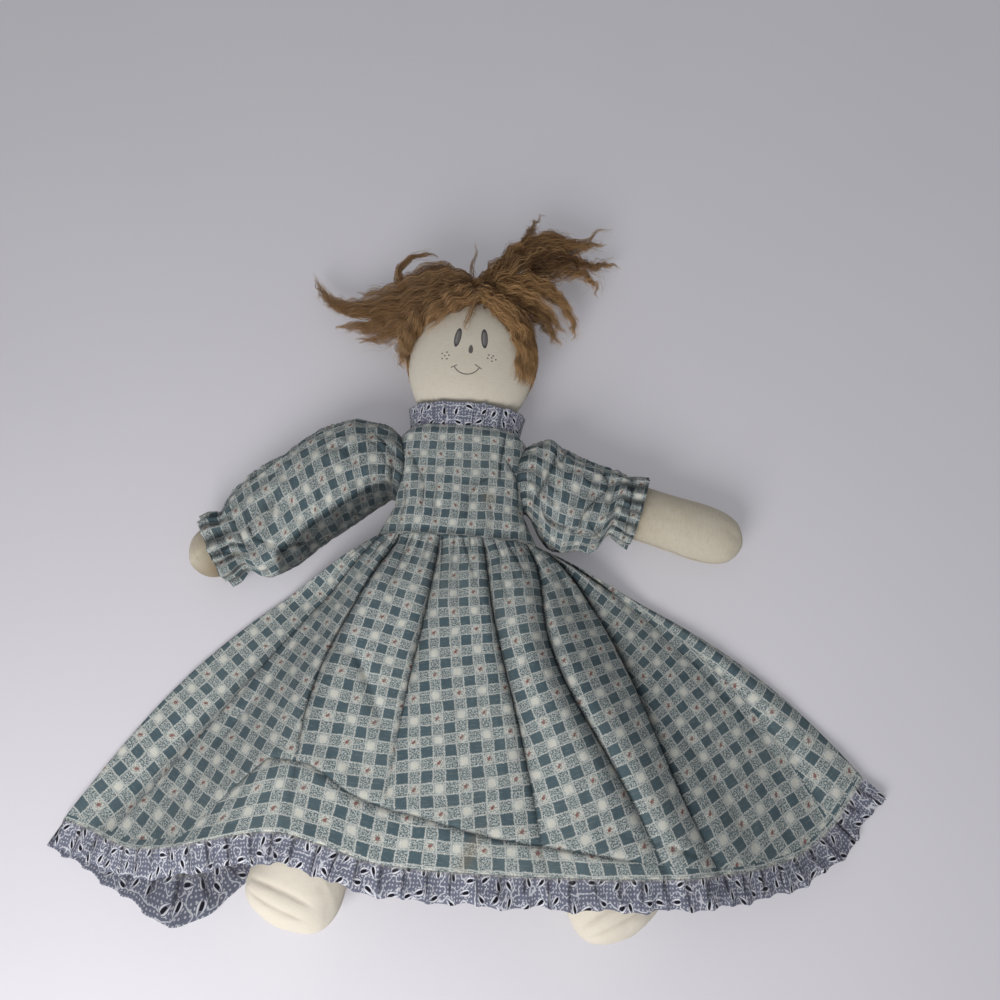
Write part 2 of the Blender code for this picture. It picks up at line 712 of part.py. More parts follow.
def make_sleeve(part, side, droop, shares, elastic_share):
    pivot = shoulder(side)
    elastic_reach = elastic_share * ARM_REACH
    rings = sleeve_rings(side, droop, shares, elastic_reach)
    mesh = ring_mesh(part + "_sleeve", rings, (False, False))
    sleeve = place(part + "_sleeve", mesh, CHECK_COLOUR, at=pivot)
    thicken(sleeve, DRESS_CLOTH)
    along = arm_direction(side, droop)
    square = np.array((side * math.sin(droop), math.cos(droop), 0.0))
    turn = np.arange(ELASTIC_SIDES) * math.tau / ELASTIC_SIDES
    bands = []
    for step in (-0.5, 0.5):
        distance = elastic_reach + step * ELASTIC_WIDTH
        half_width, half_depth = arm_half_sizes(distance)
        half_width = half_width + ELASTIC_EASE
        half_depth = half_depth + ELASTIC_EASE
        band = np.array(pivot) + distance * along + np.outer(half_width * np.cos(turn), square)
        band[:, 2] = SHOULDER_HEIGHT + arm_drop(distance) + half_depth * np.sin(turn)
        bands.append(band)
    mesh = ring_mesh(part + "_cuff_elastic", np.array(bands), (False, False))
    elastic = place(part + "_cuff_elastic", mesh, RUBBER_COLOUR, 0.6, at=pivot)
    thicken(elastic, ELASTIC, 1.0)


# Shares of the way from the waist to the hem
SETTLED_SHARE = 0.24
UNDER_SETTLED_SHARE = 0.15
GATHERED_SHARE = 0.15
CORNER_SHARE = 0.70
BULGE_PLACE_SHARE = 0.85
HEM_SAMPLES = 200

# Hem outlines: across and up the doll in shares of each side's reach and of SKIRT_HEM_FROM_HIP
FRONT_HEM_SHARES = (
    (-1.00, -0.984),
    (-0.80, -1.035),
    (-0.64, -1.010),
    (-0.50, -0.960),
    (-0.37, -0.930),
    (-0.25, -0.955),
    (-0.055, -1.000),
    (0.37, -0.984),
    (0.74, -0.924),
    (0.90, -0.815),
    (1.00, -0.616),
)
BACK_HEM_SHARES = (
    (-1.00, -0.970),
    (-0.82, -1.090),
    (-0.63, -1.130),
    (-0.43, -1.060),
    (-0.20, -0.975),
    (0.10, -0.955),
    (0.45, -0.925),
    (0.76, -0.860),
    (0.92, -0.740),
    (1.00, -0.610),
)


def hem_point(u, shares):
    """The hem's plan position for u from -1, the doll's right side, to 1, its left."""
    known = np.array(shares)
    wide = np.where(known[:, 0] < 0.0, SKIRT_RIGHT_REACH, SKIRT_LEFT_REACH) * known[:, 0]
    route = through(np.column_stack([wide, SKIRT_HEM_FROM_HIP * known[:, 1]]), HEM_SAMPLES)
    run = np.concatenate([[0.0], np.cumsum(np.hypot(*np.diff(route, axis=0).T))])
    share = (u + 1.0) / 2.0 * run[-1]
    return np.interp(share, run, route[:, 0]), np.interp(share, run, route[:, 1])


def side_bulge(u, v):
    """How far the cloth swings out of the straight line from waist to hem, towards each side seam."""
    bulge = np.where(u < 0.0, -SKIRT_RIGHT_BULGE, SKIRT_LEFT_BULGE)
    return bulge * u**2 * np.sin(math.pi * v**BULGE_PLACE_SHARE)


def leg_edge(y, side):
    """How far from the middle the cloth lies over a leg at a place up the doll, with room for its swing."""
    spread = np.where(side < 0.0, math.tan(RIGHT_LEG_SPREAD), math.tan(LEFT_LEG_SPREAD))
    past = np.maximum(-LEG_PIVOT_FROM_HIP - y, 0.0)
    room = np.where(side < 0.0, RIGHT_LEG_ROOM, LEFT_LEG_ROOM) + FOOT_WIDTH / 2.0 - LEG_BALL
    reach = np.where(side < 0.0, RIGHT_LEG_REACH, LEFT_LEG_REACH)
    return HIP_SPREAD + LEG_BALL + past * spread + room * smooth(past / reach)


def skirt_front_point(u, v):
    """From the bodice's waist the cloth lies over the legs, and falls past them to the side seams."""
    hem_x, hem_y = hem_point(u, FRONT_HEM_SHARES)
    turn = math.pi / 2.0 * (1.0 - u)
    waist_x, waist_z = oval(turn, SKIRT_WAIST_WIDTH / 2.0, BODICE_DEPTH / 2.0, SKIRT_TOP_POWER)
    waist_y = WAIST_FROM_HIP - CLEARANCE
    bulge = side_bulge(u, v)
    x = waist_x + (hem_x - waist_x) * v + bulge
    y = waist_y + (hem_y - waist_y) * v
    corner_x = np.where(u < 0.0, SKIRT_RIGHT_REACH, SKIRT_LEFT_REACH)
    edge_x = SKIRT_WAIST_WIDTH / 2.0 * (1.0 - v) + corner_x * v + np.abs(bulge)
    leg = np.minimum(leg_edge(y, u), edge_x)
    fall = smooth((np.abs(x) - leg) / np.maximum(edge_x - leg, CLEARANCE))
    cornered = smooth((v - CORNER_SHARE) / (1.0 - CORNER_SHARE))
    side = SKIRT_SIDE_HEIGHT + (SKIRT_CORNER_HEIGHT - SKIRT_SIDE_HEIGHT) * cornered
    tent = SKIRT_TOP_HEIGHT - (SKIRT_TOP_HEIGHT - side) * fall
    settle = smooth(v / SETTLED_SHARE)
    z = (BODICE_MIDDLE + DRESS_CLOTH + CLEARANCE + waist_z) * (1.0 - settle) + tent * settle
    calm = 1.0 - np.abs(u) ** 6
    folds = np.cos(math.pi * SKIRT_FOLDS * u)
    return np.column_stack([x, y, z + SKIRT_FOLD * smooth(v / GATHERED_SHARE) * calm * folds])


def skirt_back_point(u, v):
    """The cloth lies flat under the legs, and rises at the waist to the bodice's side seams."""
    hem_x, hem_y = hem_point(u, BACK_HEM_SHARES)
    turn = math.pi / 2.0 * (1.0 - u)
    waist_x, waist_z = oval(turn, SKIRT_WAIST_WIDTH / 2.0, BODICE_DEPTH / 2.0, BODICE_UNDER_POWER)
    waist_y = WAIST_FROM_HIP - CLEARANCE
    x = waist_x + (hem_x - waist_x) * v + side_bulge(u, v)
    y = waist_y + (hem_y - waist_y) * v
    rise = np.maximum(BODICE_MIDDLE - CLEARANCE - waist_z, 0.0) * (1.0 - smooth(v / UNDER_SETTLED_SHARE))
    return np.column_stack([x, y, rise])


def hem_ruffle_point(skirt_point, drop, swing, waves):
    """A strip along the hem: straight where it is sewn on, waving up and down at its free edge."""

    def surface(u, v):
        edge = skirt_point(u, np.ones_like(u))
        step = 1.0 / (2.0 * HEM_SAMPLES)
        before = skirt_point(np.clip(u - step, -1.0, 1.0), np.ones_like(u))
        after = skirt_point(np.clip(u + step, -1.0, 1.0), np.ones_like(u))
        run = after - before
        run[:, 2] = 0.0
        run /= np.linalg.norm(run, axis=1)[:, None]
        outward = np.column_stack([run[:, 1], -run[:, 0], np.zeros_like(u)])
        far = 2.0 * CLEARANCE + HEM_RUFFLE * v
        wave = swing * smooth(v) * (1.0 - np.cos(math.pi * waves * u))
        placed = edge + outward * far[:, None]
        placed[:, 2] += wave - drop * v
        placed[:, 2] = np.maximum(placed[:, 2], edge[:, 2].min())
        return placed

    return surface


def make_skirt():
    at = (0.0, 0.0, HIP_AXIS_HEIGHT)
    front_mesh = sheet_mesh("skirt_front", skirt_front_point, 5 * SKIRT_FOLDS, 8)
    back_mesh = sheet_mesh("skirt_back", skirt_back_point, 22, 6)
    sheets = [place("skirt_front", front_mesh, CHECK_COLOUR, at=at)]
    sheets.append(place("skirt_back", back_mesh, CHECK_COLOUR, at=at))
    for name, point, drop, swing, waves in (
        ("hem_ruffle_front", skirt_front_point, HEM_RUFFLE_DROP, HEM_RUFFLE_WAVE, HEM_RUFFLE_WAVES),
        ("hem_ruffle_back", skirt_back_point, 0.0, UNDER_RUFFLE_WAVE, UNDER_RUFFLE_WAVES),
    ):
        surface = hem_ruffle_point(point, drop, swing, waves)
        sheets.append(place(name, sheet_mesh(name, surface, 5 * waves, 2), PAISLEY_COLOUR, at=at))
    for sheet, offset in zip(sheets, (-1.0, 1.0, -1.0, 1.0)):
        thicken(sheet, DRESS_CLOTH, offset)


clear_scene()
make_torso()
make_head()
make_locks()
make_arm("right_arm", -1.0, RIGHT_ARM_DROOP)
make_arm("left_arm", 1.0, LEFT_ARM_DROOP)
make_leg("right_leg", -1.0, RIGHT_LEG_SPREAD, RIGHT_LEG_REACH)
make_leg("left_leg", 1.0, LEFT_LEG_SPREAD, LEFT_LEG_REACH)
make_bodice()
make_neck_ruffle()
make_sleeve("right", -1.0, RIGHT_ARM_DROOP, RIGHT_SLEEVE_SHARES, RIGHT_ELASTIC_REACH_SHARE)
make_sleeve("left", 1.0, LEFT_ARM_DROOP, LEFT_SLEEVE_SHARES, LEFT_ELASTIC_REACH_SHARE)
make_skirt()
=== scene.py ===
"""Rag doll in a gathered check dress: cloth, skins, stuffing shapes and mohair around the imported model.

Lengths are in metres, in the model's frame: the head points along +Y and the face looks along +Z.
"""
import functools
import math

import bpy
import numpy as np
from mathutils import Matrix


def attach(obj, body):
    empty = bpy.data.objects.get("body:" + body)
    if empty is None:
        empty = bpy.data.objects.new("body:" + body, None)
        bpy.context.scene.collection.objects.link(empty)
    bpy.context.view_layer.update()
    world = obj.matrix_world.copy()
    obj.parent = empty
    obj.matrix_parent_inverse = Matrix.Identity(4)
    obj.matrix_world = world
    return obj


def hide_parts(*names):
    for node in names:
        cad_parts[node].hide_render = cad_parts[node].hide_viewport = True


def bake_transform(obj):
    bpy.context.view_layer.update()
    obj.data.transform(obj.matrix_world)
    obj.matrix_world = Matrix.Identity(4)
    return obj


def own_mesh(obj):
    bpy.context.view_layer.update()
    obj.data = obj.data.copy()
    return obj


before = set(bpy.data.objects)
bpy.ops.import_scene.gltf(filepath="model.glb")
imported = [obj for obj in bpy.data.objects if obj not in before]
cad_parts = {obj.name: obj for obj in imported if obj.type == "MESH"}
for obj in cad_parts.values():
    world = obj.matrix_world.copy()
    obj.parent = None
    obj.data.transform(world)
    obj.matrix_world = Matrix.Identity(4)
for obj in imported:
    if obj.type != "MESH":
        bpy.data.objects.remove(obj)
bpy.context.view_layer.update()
MM = 0.001

# ---------------------------------------------------------------- node shorthand


class Field:
    """A socket of a material's node tree. Arithmetic on it adds math nodes."""

    def __init__(self, tree, socket):
        self.tree = tree
        self.socket = socket

    def math(self, operation, *others):
        """A math node of this field and other fields or numbers."""
        node = self.tree.nodes.new("ShaderNodeMath")
        node.operation = operation
        for slot, value in zip(node.inputs, (self, *others)):
            put(self.tree, slot, value)
        return Field(self.tree, node.outputs[0])

    def __add__(self, other):
        return self.math("ADD", other)

    def __sub__(self, other):
        return self.math("SUBTRACT", other)

    def __mul__(self, other):
        return self.math("MULTIPLY", other)

    def __truediv__(self, other):
        return self.math("DIVIDE", other)

    def __rsub__(self, other):
        return (self * -1.0).math("ADD", other)

    __radd__ = __add__
    __rmul__ = __mul__

    def above(self, edge, soft=0.0):
        """1 above the edge and 0 below it, with a soft step where one is given."""
        if not soft:
            return self.math("GREATER_THAN", edge)
        node = self.tree.nodes.new("ShaderNodeMapRange")
        node.interpolation_type = "SMOOTHSTEP"
        for slot, value in zip(node.inputs, (self, edge - soft, edge + soft, 0.0, 1.0)):
            put(self.tree, slot, value)
        return Field(self.tree, node.outputs[0])

    def below(self, edge, soft=0.0):
        """What above leaves."""
        return 1.0 - self.above(edge, soft)

    def fract(self):
        """The part after the whole number."""
        return self.math("FRACT")

    def absolute(self):
        """The field without its sign."""
        return self.math("ABSOLUTE")

    def most(self, other):
        """The larger of two fields."""
        return self.math("MAXIMUM", other)


def put(tree, slot, value):
    """Links a field to a socket, or writes a number or colour on it."""
    if isinstance(value, Field):
        tree.links.new(value.socket, slot)
    elif hasattr(value, "__len__") and len(value) == 3 and slot.type == "RGBA":
        slot.default_value = (*value, 1.0)
    else:
        slot.default_value = value


def srgb(red, green, blue):
    """A colour given as it looks, 0 to 255, turned to linear light."""
    share = np.array((red, green, blue)) / 255.0
    return tuple(np.where(share <= 0.04045, share / 12.92, ((share + 0.055) / 1.055) ** 2.4).tolist())


class Finish:
    """A material with its Principled shader, and the nodes that feed it."""

    def __init__(self, name, roughness, sheen=0.0, specular=0.25):
        self.made = bpy.data.materials.new(name)
        self.made.use_nodes = True
        self.tree = self.made.node_tree
        self.shader = self.tree.nodes["Principled BSDF"]
        self.shader.inputs["Roughness"].default_value = roughness
        self.shader.inputs["Specular IOR Level"].default_value = specular
        self.shader.inputs["Sheen Weight"].default_value = sheen
        self.shader.inputs["Sheen Roughness"].default_value = 0.5

    def node(self, kind, output=0, inputs=None, **settings):
        """One output of a new node, with its inputs and settings."""
        node = self.tree.nodes.new(kind)
        for key, value in settings.items():
            setattr(node, key, value)
        for key, value in (inputs or {}).items():
            put(self.tree, node.inputs[key], value)
        return Field(self.tree, node.outputs[output])

    def split(self, vector):
        """A vector's three parts."""
        node = self.tree.nodes.new("ShaderNodeSeparateXYZ")
        put(self.tree, node.inputs[0], vector)
        return [Field(self.tree, node.outputs[k]) for k in range(3)]

    def join(self, x, y, z=0.0):
        """A vector from its parts."""
        return self.node("ShaderNodeCombineXYZ", 0, {0: x, 1: y, 2: z})

    def cloth(self):
        """The piece's own cloth coordinates, in metres along and across the weave."""
        return self.split(self.node("ShaderNodeUVMap", 0, uv_map="cloth"))

    def place(self):
        """The place in the object's own frame, in metres."""
        return self.split(self.node("ShaderNodeTexCoord", "Object"))

    def mark_or_painted_shade(self, name):
        """A value that the piece carries at its points, from 0 to 1: stains and edgings, which are the cloth's own,
        and painted shade.
        """
        return self.node("ShaderNodeAttribute", "Fac", attribute_name=name)

    def noise(self, vector, scale, detail=2.0, kind=0, roughness=0.5):
        """Smooth noise: its height (kind 0) or its colour (kind 1)."""
        return self.node(
            "ShaderNodeTexNoise", kind, {"Vector": vector, "Scale": scale, "Detail": detail, "Roughness": roughness}
        )

    def mix(self, low, high, share):
        """A colour between two, by a share."""
        node = self.tree.nodes.new("ShaderNodeMix")
        node.data_type = "RGBA"
        for key, value in ((0, share), (6, low), (7, high)):
            put(self.tree, node.inputs[key], value)
        return Field(self.tree, node.outputs[2])

    def layers(self, colour, *over):
        """Colours laid over a first one in turn, each with the share that it covers."""
        for paint, share in over:
            colour = self.mix(colour, paint, share)
        return colour

    def cells(self, vector, scale, spread):
        """Flat Voronoi cells: each one's distance, random colour and place."""
        node = self.tree.nodes.new("ShaderNodeTexVoronoi")
        node.voronoi_dimensions = "2D"
        for key, value in (("Vector", vector), ("Scale", scale), ("Randomness", spread)):
            put(self.tree, node.inputs[key], value)
        return [Field(self.tree, node.outputs[key]) for key in ("Distance", "Color", "Position")]

    def done(self, colour, height=None, strength=0.4, distance=0.0004):
        """The material, with its colour and its bumps joined up."""
        put(self.tree, self.shader.inputs["Base Color"], colour)
        if height is not None:
            bump = self.tree.nodes.new("ShaderNodeBump")
            bump.inputs["Strength"].default_value = strength
            bump.inputs["Distance"].default_value = distance
            put(self.tree, bump.inputs["Height"], height)
            self.tree.links.new(bump.outputs[0], self.shader.inputs["Normal"])
        return self.made


# ---------------------------------------------------------------- materials

CHECK_PITCH = 12.7 * MM
THREAD = 0.42 * MM
DROP_PITCH = 11.2 * MM
DOT_PITCH = 2.5 * MM


def weave(x, y):
    """Plain weave: the product of two sine waves, one across each thread's direction."""
    return (x * (math.tau / THREAD)).math("SINE") * (y * (math.tau / THREAD)).math("SINE")


def check_cotton():
    """Solid squares between stippled bands with pale edge lines, whose crossings are plain or hold a flower.

    Across and along count the print's repeats. Each mark is a step on how far a place is from a square's or a
    crossing's middle, roughened by noise.
    """
    finish = Finish("check_cotton", 0.92, sheen=0.10, specular=0.12)
    x, y, _ = finish.cloth()
    flat = finish.join(x, y)
    wobble = (finish.noise(flat, 260.0, 1.0) - 0.5) * 0.05
    warp = finish.split(finish.noise(flat, 38.0, 2.0, 1))
    across = x / CHECK_PITCH + wobble + (warp[0] - 0.5) * 0.24
    along = y / CHECK_PITCH + wobble + (warp[1] - 0.5) * 0.24
    # Distances from the middle of the crossing, then of the square, in repeats
    from_x, from_y = (((way + 0.25).fract() - 0.5).absolute() for way in (across, along))
    side_x, side_y = 0.5 - from_x, 0.5 - from_y
    apart = (side_x * side_x + side_y * side_y).math("SQRT")
    grain = finish.noise(flat, 1250.0, 1.0)
    fine = finish.noise(flat, 2900.0, 0.0)
    ragged = (grain - 0.5) * 0.36 + (fine - 0.5) * 0.16
    solid = (from_x.most(from_y) + (finish.noise(flat, 700.0, 2.0) - 0.5) * 0.03).below(0.226, 0.014)
    crossing = side_x.most(side_y).below(0.215, 0.03)
    stipple = (grain * 0.6 + fine * 0.4 + crossing * 0.03).above(0.515, 0.022)
    broken = 0.45 + fine.above(0.42, 0.03) * 0.55
    edge_x, edge_y = ((way - 0.268).absolute().below(0.020, 0.012) * broken for way in (from_x, from_y))
    # Every other crossing holds a flower: a pale ragged ring with specks and a notched dark red heart
    odd = (across.math("FLOOR") + along.math("FLOOR")).math("FLOORED_MODULO", 2.0).above(0.5)
    blob = (side_x.most(side_y) * 0.5 + apart * 0.5 + ragged).below(0.158, 0.022)
    ring = (apart + ragged * 0.6).below(0.200, 0.025) * odd
    specks = grain.above(0.52, 0.02)
    heart_x, heart_y = across.fract() - 0.75, along.fract() - 0.75
    notch = (heart_x * 34.0).math("SINE") * (heart_y * 27.0 + 0.8).math("SINE")
    heart = (apart + heart_x * heart_y * 1.5 + ragged * 0.45 + notch * 0.026).below(0.074, 0.016)
    teal = finish.mix(srgb(74, 93, 102), srgb(90, 109, 116), finish.noise(flat, 2200.0, 1.0))
    cream = srgb(224, 223, 213)
    slub = finish.noise(finish.join(x * 0.25, y), 900.0, 2.0)
    faded = finish.noise(flat, 14.0, 3.0)
    colour = finish.layers(
        srgb(98, 112, 116),
        (srgb(207, 212, 209), stipple * 0.86),
        (srgb(218, 220, 215), edge_x.most(edge_y) * 0.82),
        (cream, ring * (1.0 - specks * 0.7) * 0.9),
        (cream, blob * (1.0 - odd) * 0.95),
        (srgb(92, 92, 92), ring * specks * 0.62),
        (srgb(132, 66, 66), heart * odd * 0.84),
        (teal, solid),
        (srgb(186, 190, 184), slub.above(0.62, 0.1) * 0.12),
        (srgb(160, 166, 160), faded.above(0.55, 0.2) * 0.12),
        (srgb(158, 126, 82), finish.mark_or_painted_shade("stain") * 0.30),
        # Painted shade: near-black in the creases and on the shaded side of folds
        (srgb(22, 27, 32), finish.mark_or_painted_shade("crease_shade") * 0.9),
    )
    return finish.done(colour, weave(x, y) + grain * 0.6 + slub * 0.6, 0.25, 0.0002)


def paisley_cotton():
    """Scattered teardrops: a dark core, a pale outline and a ring of ticks, over dots and scrolls.

    Each drop lies in a Voronoi cell, turned by the cell's random colour. Its half width is the square root of
    its run times what is left of the run, and its middle line bends with the run's square.
    """
    finish = Finish("paisley_cotton", 0.92, sheen=0.12, specular=0.15)
    x, y, _ = finish.cloth()
    flat = finish.join(x, y)
    _, tint, heart = finish.cells(finish.join(x / DROP_PITCH, y / DROP_PITCH), 1.0, 0.55)
    heart_x, heart_y, _ = finish.split(heart)
    turn = finish.split(tint)[0] * math.tau
    side_x, side_y = x / DROP_PITCH - heart_x, y / DROP_PITCH - heart_y
    cosine, sine = turn.math("COSINE"), turn.math("SINE")
    long = side_x * cosine + side_y * sine
    wide = side_y * cosine - side_x * sine
    run = (long + 0.26) / 0.66
    inside = run.above(0.0) * run.below(1.0)
    run = run.math("MAXIMUM", 0.001).math("MINIMUM", 0.999)
    half = run.math("SQRT") * (1.0 - run) * 0.50
    level = (wide - run * run * 0.16 + 0.04).absolute() / half.math("MAXIMUM", 0.010)
    core = level.below(0.44) * run.above(0.10) * run.below(0.62) * inside
    outline = level.above(0.52) * level.below(1.0) * inside
    ticks = (long * 30.0).math("SINE").above(-0.1)
    ring = level.above(1.26) * level.below(1.56) * ticks * inside
    outer = level.above(1.62).most(1.0 - inside)
    dot = finish.cells(flat, 1.0 / DOT_PITCH, 0.25)[0].below(0.23, 0.04)
    scroll = (finish.noise(flat, 125.0, 0.5) - 0.5).absolute().below(0.019)
    white = outline.most(ring * 0.9).most(dot * outer * 0.6).most(scroll * outer * 0.75)
    colour = finish.layers(
        finish.mix(srgb(98, 102, 120), srgb(130, 133, 151), finish.noise(flat, 900.0, 1.0)),
        (srgb(234, 235, 242), white * 0.95),
        (srgb(24, 22, 34), core),
        # Painted shade in the valleys between the gathers
        (srgb(34, 34, 44), finish.mark_or_painted_shade("crease_shade") * 0.8),
        (srgb(222, 220, 214), finish.mark_or_painted_shade("edging") * 0.85),
    )
    return finish.done(colour, weave(x, y), 0.25, 0.0002)


def muslin(name, painted_light_share, face=False):
    """Unbleached plain weave with slubs, faint soiling and, on the head, the inked face; creases get painted shade,
    and the lighter copies get painted light.
    """
    finish = Finish(name, 0.95, sheen=0.15, specular=0.12)
    x, y, _ = finish.cloth()
    flat = finish.join(x, y)
    slub_x = finish.noise(finish.join(x * 0.12, y), 1500.0, 2.0)
    slub_y = finish.noise(finish.join(x, y * 0.12), 1500.0, 2.0)
    soil = finish.noise(flat, 28.0, 4.0)
    flecks = finish.noise(flat, 900.0, 0.0, roughness=0.3).above(0.83, 0.03)
    colour = finish.layers(
        srgb(230, 221, 203),
        (srgb(212, 200, 176), slub_x.above(0.56, 0.12) * 0.5),
        (srgb(216, 204, 180), slub_y.above(0.58, 0.12) * 0.4),
        (srgb(204, 190, 162), soil.above(0.56, 0.2) * 0.32),
        (srgb(150, 128, 98), flecks * 0.5),
        # Painted shade: brownish darkening in creases, under the cuff and along the seams
        (srgb(126, 106, 80), finish.mark_or_painted_shade("crease_shade") * 0.62),
        # Painted light: the copies for the legs and the face are lightened by this share
        (srgb(250, 243, 232), painted_light_share),
    )
    if face:
        colour = inked_face(finish, colour)
    return finish.done(colour, weave(x, y) * 0.8 + slub_x + slub_y, 0.4, 0.0003)


# The inked face in mm, across and up the doll: middles and leans of the eyes, the nose's middle, the freckles,
# the middle and radius of the mouth's arc, the height under which it shows, and the ticks at its ends
EYES = ((-13.0, 172.6, -0.10), (6.9, 172.9, 0.10))
NOSE = (-2.4, 163.1)
FRECKLES = (
    (-23.6, 159.2), (-19.9, 160.1), (-21.4, 157.3), (-18.3, 157.6), (-23.2, 155.1), (-19.6, 154.8),
    (11.2, 159.9), (14.4, 159.6), (10.6, 157.2), (13.5, 158.0), (13.9, 155.3), (16.6, 157.0),
)
MOUTH = (-4.2, 153.7, 10.4)
MOUTH_TOP = 148.9
MOUTH_TICKS = ((-15.9, 147.9, -11.4, 150.1), (1.6, 151.2, 6.8, 148.1))


def inked_face(finish, colour):
    """Ink over the colour: soft steps on the distance from ovals, dots, an arc and two strokes, all on the front."""
    x, y, z = finish.place()
    x, y = x / MM, y / MM
    wander = (finish.noise(finish.join(x, y), 0.9, 2.0) - 0.5) * 0.5

    def apart(side, rise):
        """Distance, from its two parts."""
        return (side * side + rise * rise).math("SQRT")

    ink, whites = [], []
    for at_x, at_y, lean in EYES:
        rise = y - at_y
        side = (x - at_x) + rise * lean
        size = apart(side / 2.5, rise / 7.9)
        streak = ((side + 0.5) / 0.55).absolute().below(1.0, 0.5) * rise.absolute().below(4.6, 1.2)
        hatch = 0.62 + (finish.noise(finish.join(x * 2.2, y * 0.5), 3.0, 2.0) - 0.5) * 0.7
        ink.append((size + wander * 0.3 - 0.88).absolute().below(0.13, 0.06))
        ink.append(size.below(0.86, 0.1) * hatch * (1.0 - streak * 0.55))
        whites.append(size.below(0.95, 0.05))
    side, rise = (x - NOSE[0]) / 2.0, (y - NOSE[1]) / 3.5
    ink.append((side * side * (1.5 + rise * 0.6).most(0.5) + rise * rise).math("SQRT").below(1.0, 0.12) * 0.92)
    for at_x, at_y in FRECKLES:
        ink.append(apart(x - at_x, y - at_y).below(0.62, 0.14) * 0.95)
    arc = (apart(x - MOUTH[0], y - MOUTH[1]) - MOUTH[2] + wander * 0.5).absolute().below(0.42, 0.1)
    ink.append(arc * y.below(MOUTH_TOP, 0.3) * 0.85)
    for from_x, from_y, to_x, to_y in MOUTH_TICKS:
        long = math.hypot(to_x - from_x, to_y - from_y)
        way_x, way_y = (to_x - from_x) / long, (to_y - from_y) / long
        run = (x - from_x) * way_x + (y - from_y) * way_y
        off = ((y - from_y) * way_x - (x - from_x) * way_y + wander * 0.4).absolute()
        ink.append(off.below(0.42, 0.12) * run.above(0.0, 0.3) * run.below(long, 0.3) * 0.8)
    front = z.above(0.030)
    return finish.layers(
        colour,
        (srgb(140, 138, 142), functools.reduce(Field.most, whites) * front * 0.75),
        (srgb(58, 56, 64), functools.reduce(Field.most, ink) * front * 0.92),
    )


def mohair():
    """Wavy strands: each has its own shade, and it lightens from root to tip."""
    finish = Finish("mohair", 0.5, sheen=0.1, specular=0.4)
    shade, along, _ = finish.cloth()
    return finish.done(finish.layers(
        srgb(98, 64, 32),
        (srgb(226, 180, 124), shade),
        (srgb(214, 174, 126), along.above(0.75, 0.3) * 0.4),
        (srgb(88, 58, 30), along.below(0.10, 0.10) * 0.45),
    ))


def mohair_mat():
    """The stitched-down base: fine strands side by side as waves of colour and height."""
    finish = Finish("mohair_mat", 0.85, sheen=0.05, specular=0.08)
    x, y, _ = finish.cloth()
    sway = finish.noise(finish.join(x, y), 60.0, 2.0)
    strands = finish.noise(finish.join(x * 0.08, y + sway * 0.006), 1300.0, 3.0)
    colour = finish.mix(srgb(96, 64, 34), srgb(166, 122, 76), strands.above(0.5, 0.2))
    return finish.done(colour, strands, 0.8, 0.0012)


CHECK = check_cotton()
PAISLEY = paisley_cotton()
MUSLIN = muslin("muslin", 0.0)
# The legs and the head are the same muslin, made lighter as painted light
FEET = muslin("muslin_feet_painted_light", 0.50)
FACE = muslin("muslin_face_painted_light", 0.34, True)
MOHAIR = mohair()
MAT = mohair_mat()

# ---------------------------------------------------------------- shapes

# Thickness of the cotton, and the steps from a grid's point around the corners of its quad
CLOTH = 0.55 * MM
AROUND = ((0, 0), (0, 1), (1, 1), (1, 0))
# Heights over the surface of the middle of the stuffed parts and of the dress, and the line of the hips
BODY_HEIGHT = 0.0232
DRESS_HEIGHT = 0.0245
HIP_LINE = -0.0448
# Half width and half depth of the legs, arms and torso where they are fullest, and the neck's radius
LEG_HALF = (0.03025, 0.0219)
ARM_HALF = (0.0215, 0.0185)
TORSO_HALF = (0.040, 0.022)
NECK_RADIUS = 0.014
# The ends of arm and leg at their joints, the torso's length, and the way up it to the neck's ball
SHOULDER_RADIUS = 0.0195
HIP_RADIUS = 0.0225
TORSO_LENGTH = 0.097
NECK_REACH = 0.1
# Powers of the ovals of the dress's back, bodice front and sleeves: 2 is an ellipse, more is squarer
ELLIPSE = 2.0
BACK_POWER = 3.2
FRONT_POWER = 2.7
SLEEVE_POWER = 2.3
UP = (0.0, 0.0, 1.0)
SIDE = {"right": -1.0, "left": 1.0}
# How far across the middle of the torso leans for each metre up
LEAN = -0.03


def smooth(share):
    """A soft step from 0 to 1: three times the square less twice the cube."""
    share = np.clip(share, 0.0, 1.0)
    return share * share * (3.0 - 2.0 * share)


def cusp(away, width):
    """A sharp ridge: it falls by a factor of e with each width away from its line."""
    return np.exp(-np.abs(away) / width)


def spline(known, count, through=False):
    """Points along a cubic curve: a B-spline that the known points pull, or a Catmull-Rom curve through them."""
    known = np.asarray(known, float)
    ends = np.concatenate([[2.0 * known[0] - known[1]], known, [2.0 * known[-1] - known[-2]]])
    at = np.linspace(0.0, len(known) - 1.0, count)
    step = np.minimum(at.astype(int), len(known) - 2)
    t = (at - step).reshape((-1,) + (1,) * (known.ndim - 1))
    a, b, c, d = ends[step], ends[step + 1], ends[step + 2], ends[step + 3]
    if through:
        return 0.5 * (
            2.0 * b + (c - a) * t + (2.0 * a - 5.0 * b + 4.0 * c - d) * t**2 + (3.0 * b - a - 3.0 * c + d) * t**3
        )
    return ((1.0 - t) ** 3 * a + (3.0 * t**3 - 6.0 * t**2 + 4.0) * b + (-3.0 * t**3 + 3.0 * t**2 + 3.0 * t + 1.0) * c
            + t**3 * d) / 6.0


def unit(vectors):
    """Vectors divided by their lengths."""
    return vectors / np.maximum(np.linalg.norm(vectors, axis=-1, keepdims=True), 1e-12)


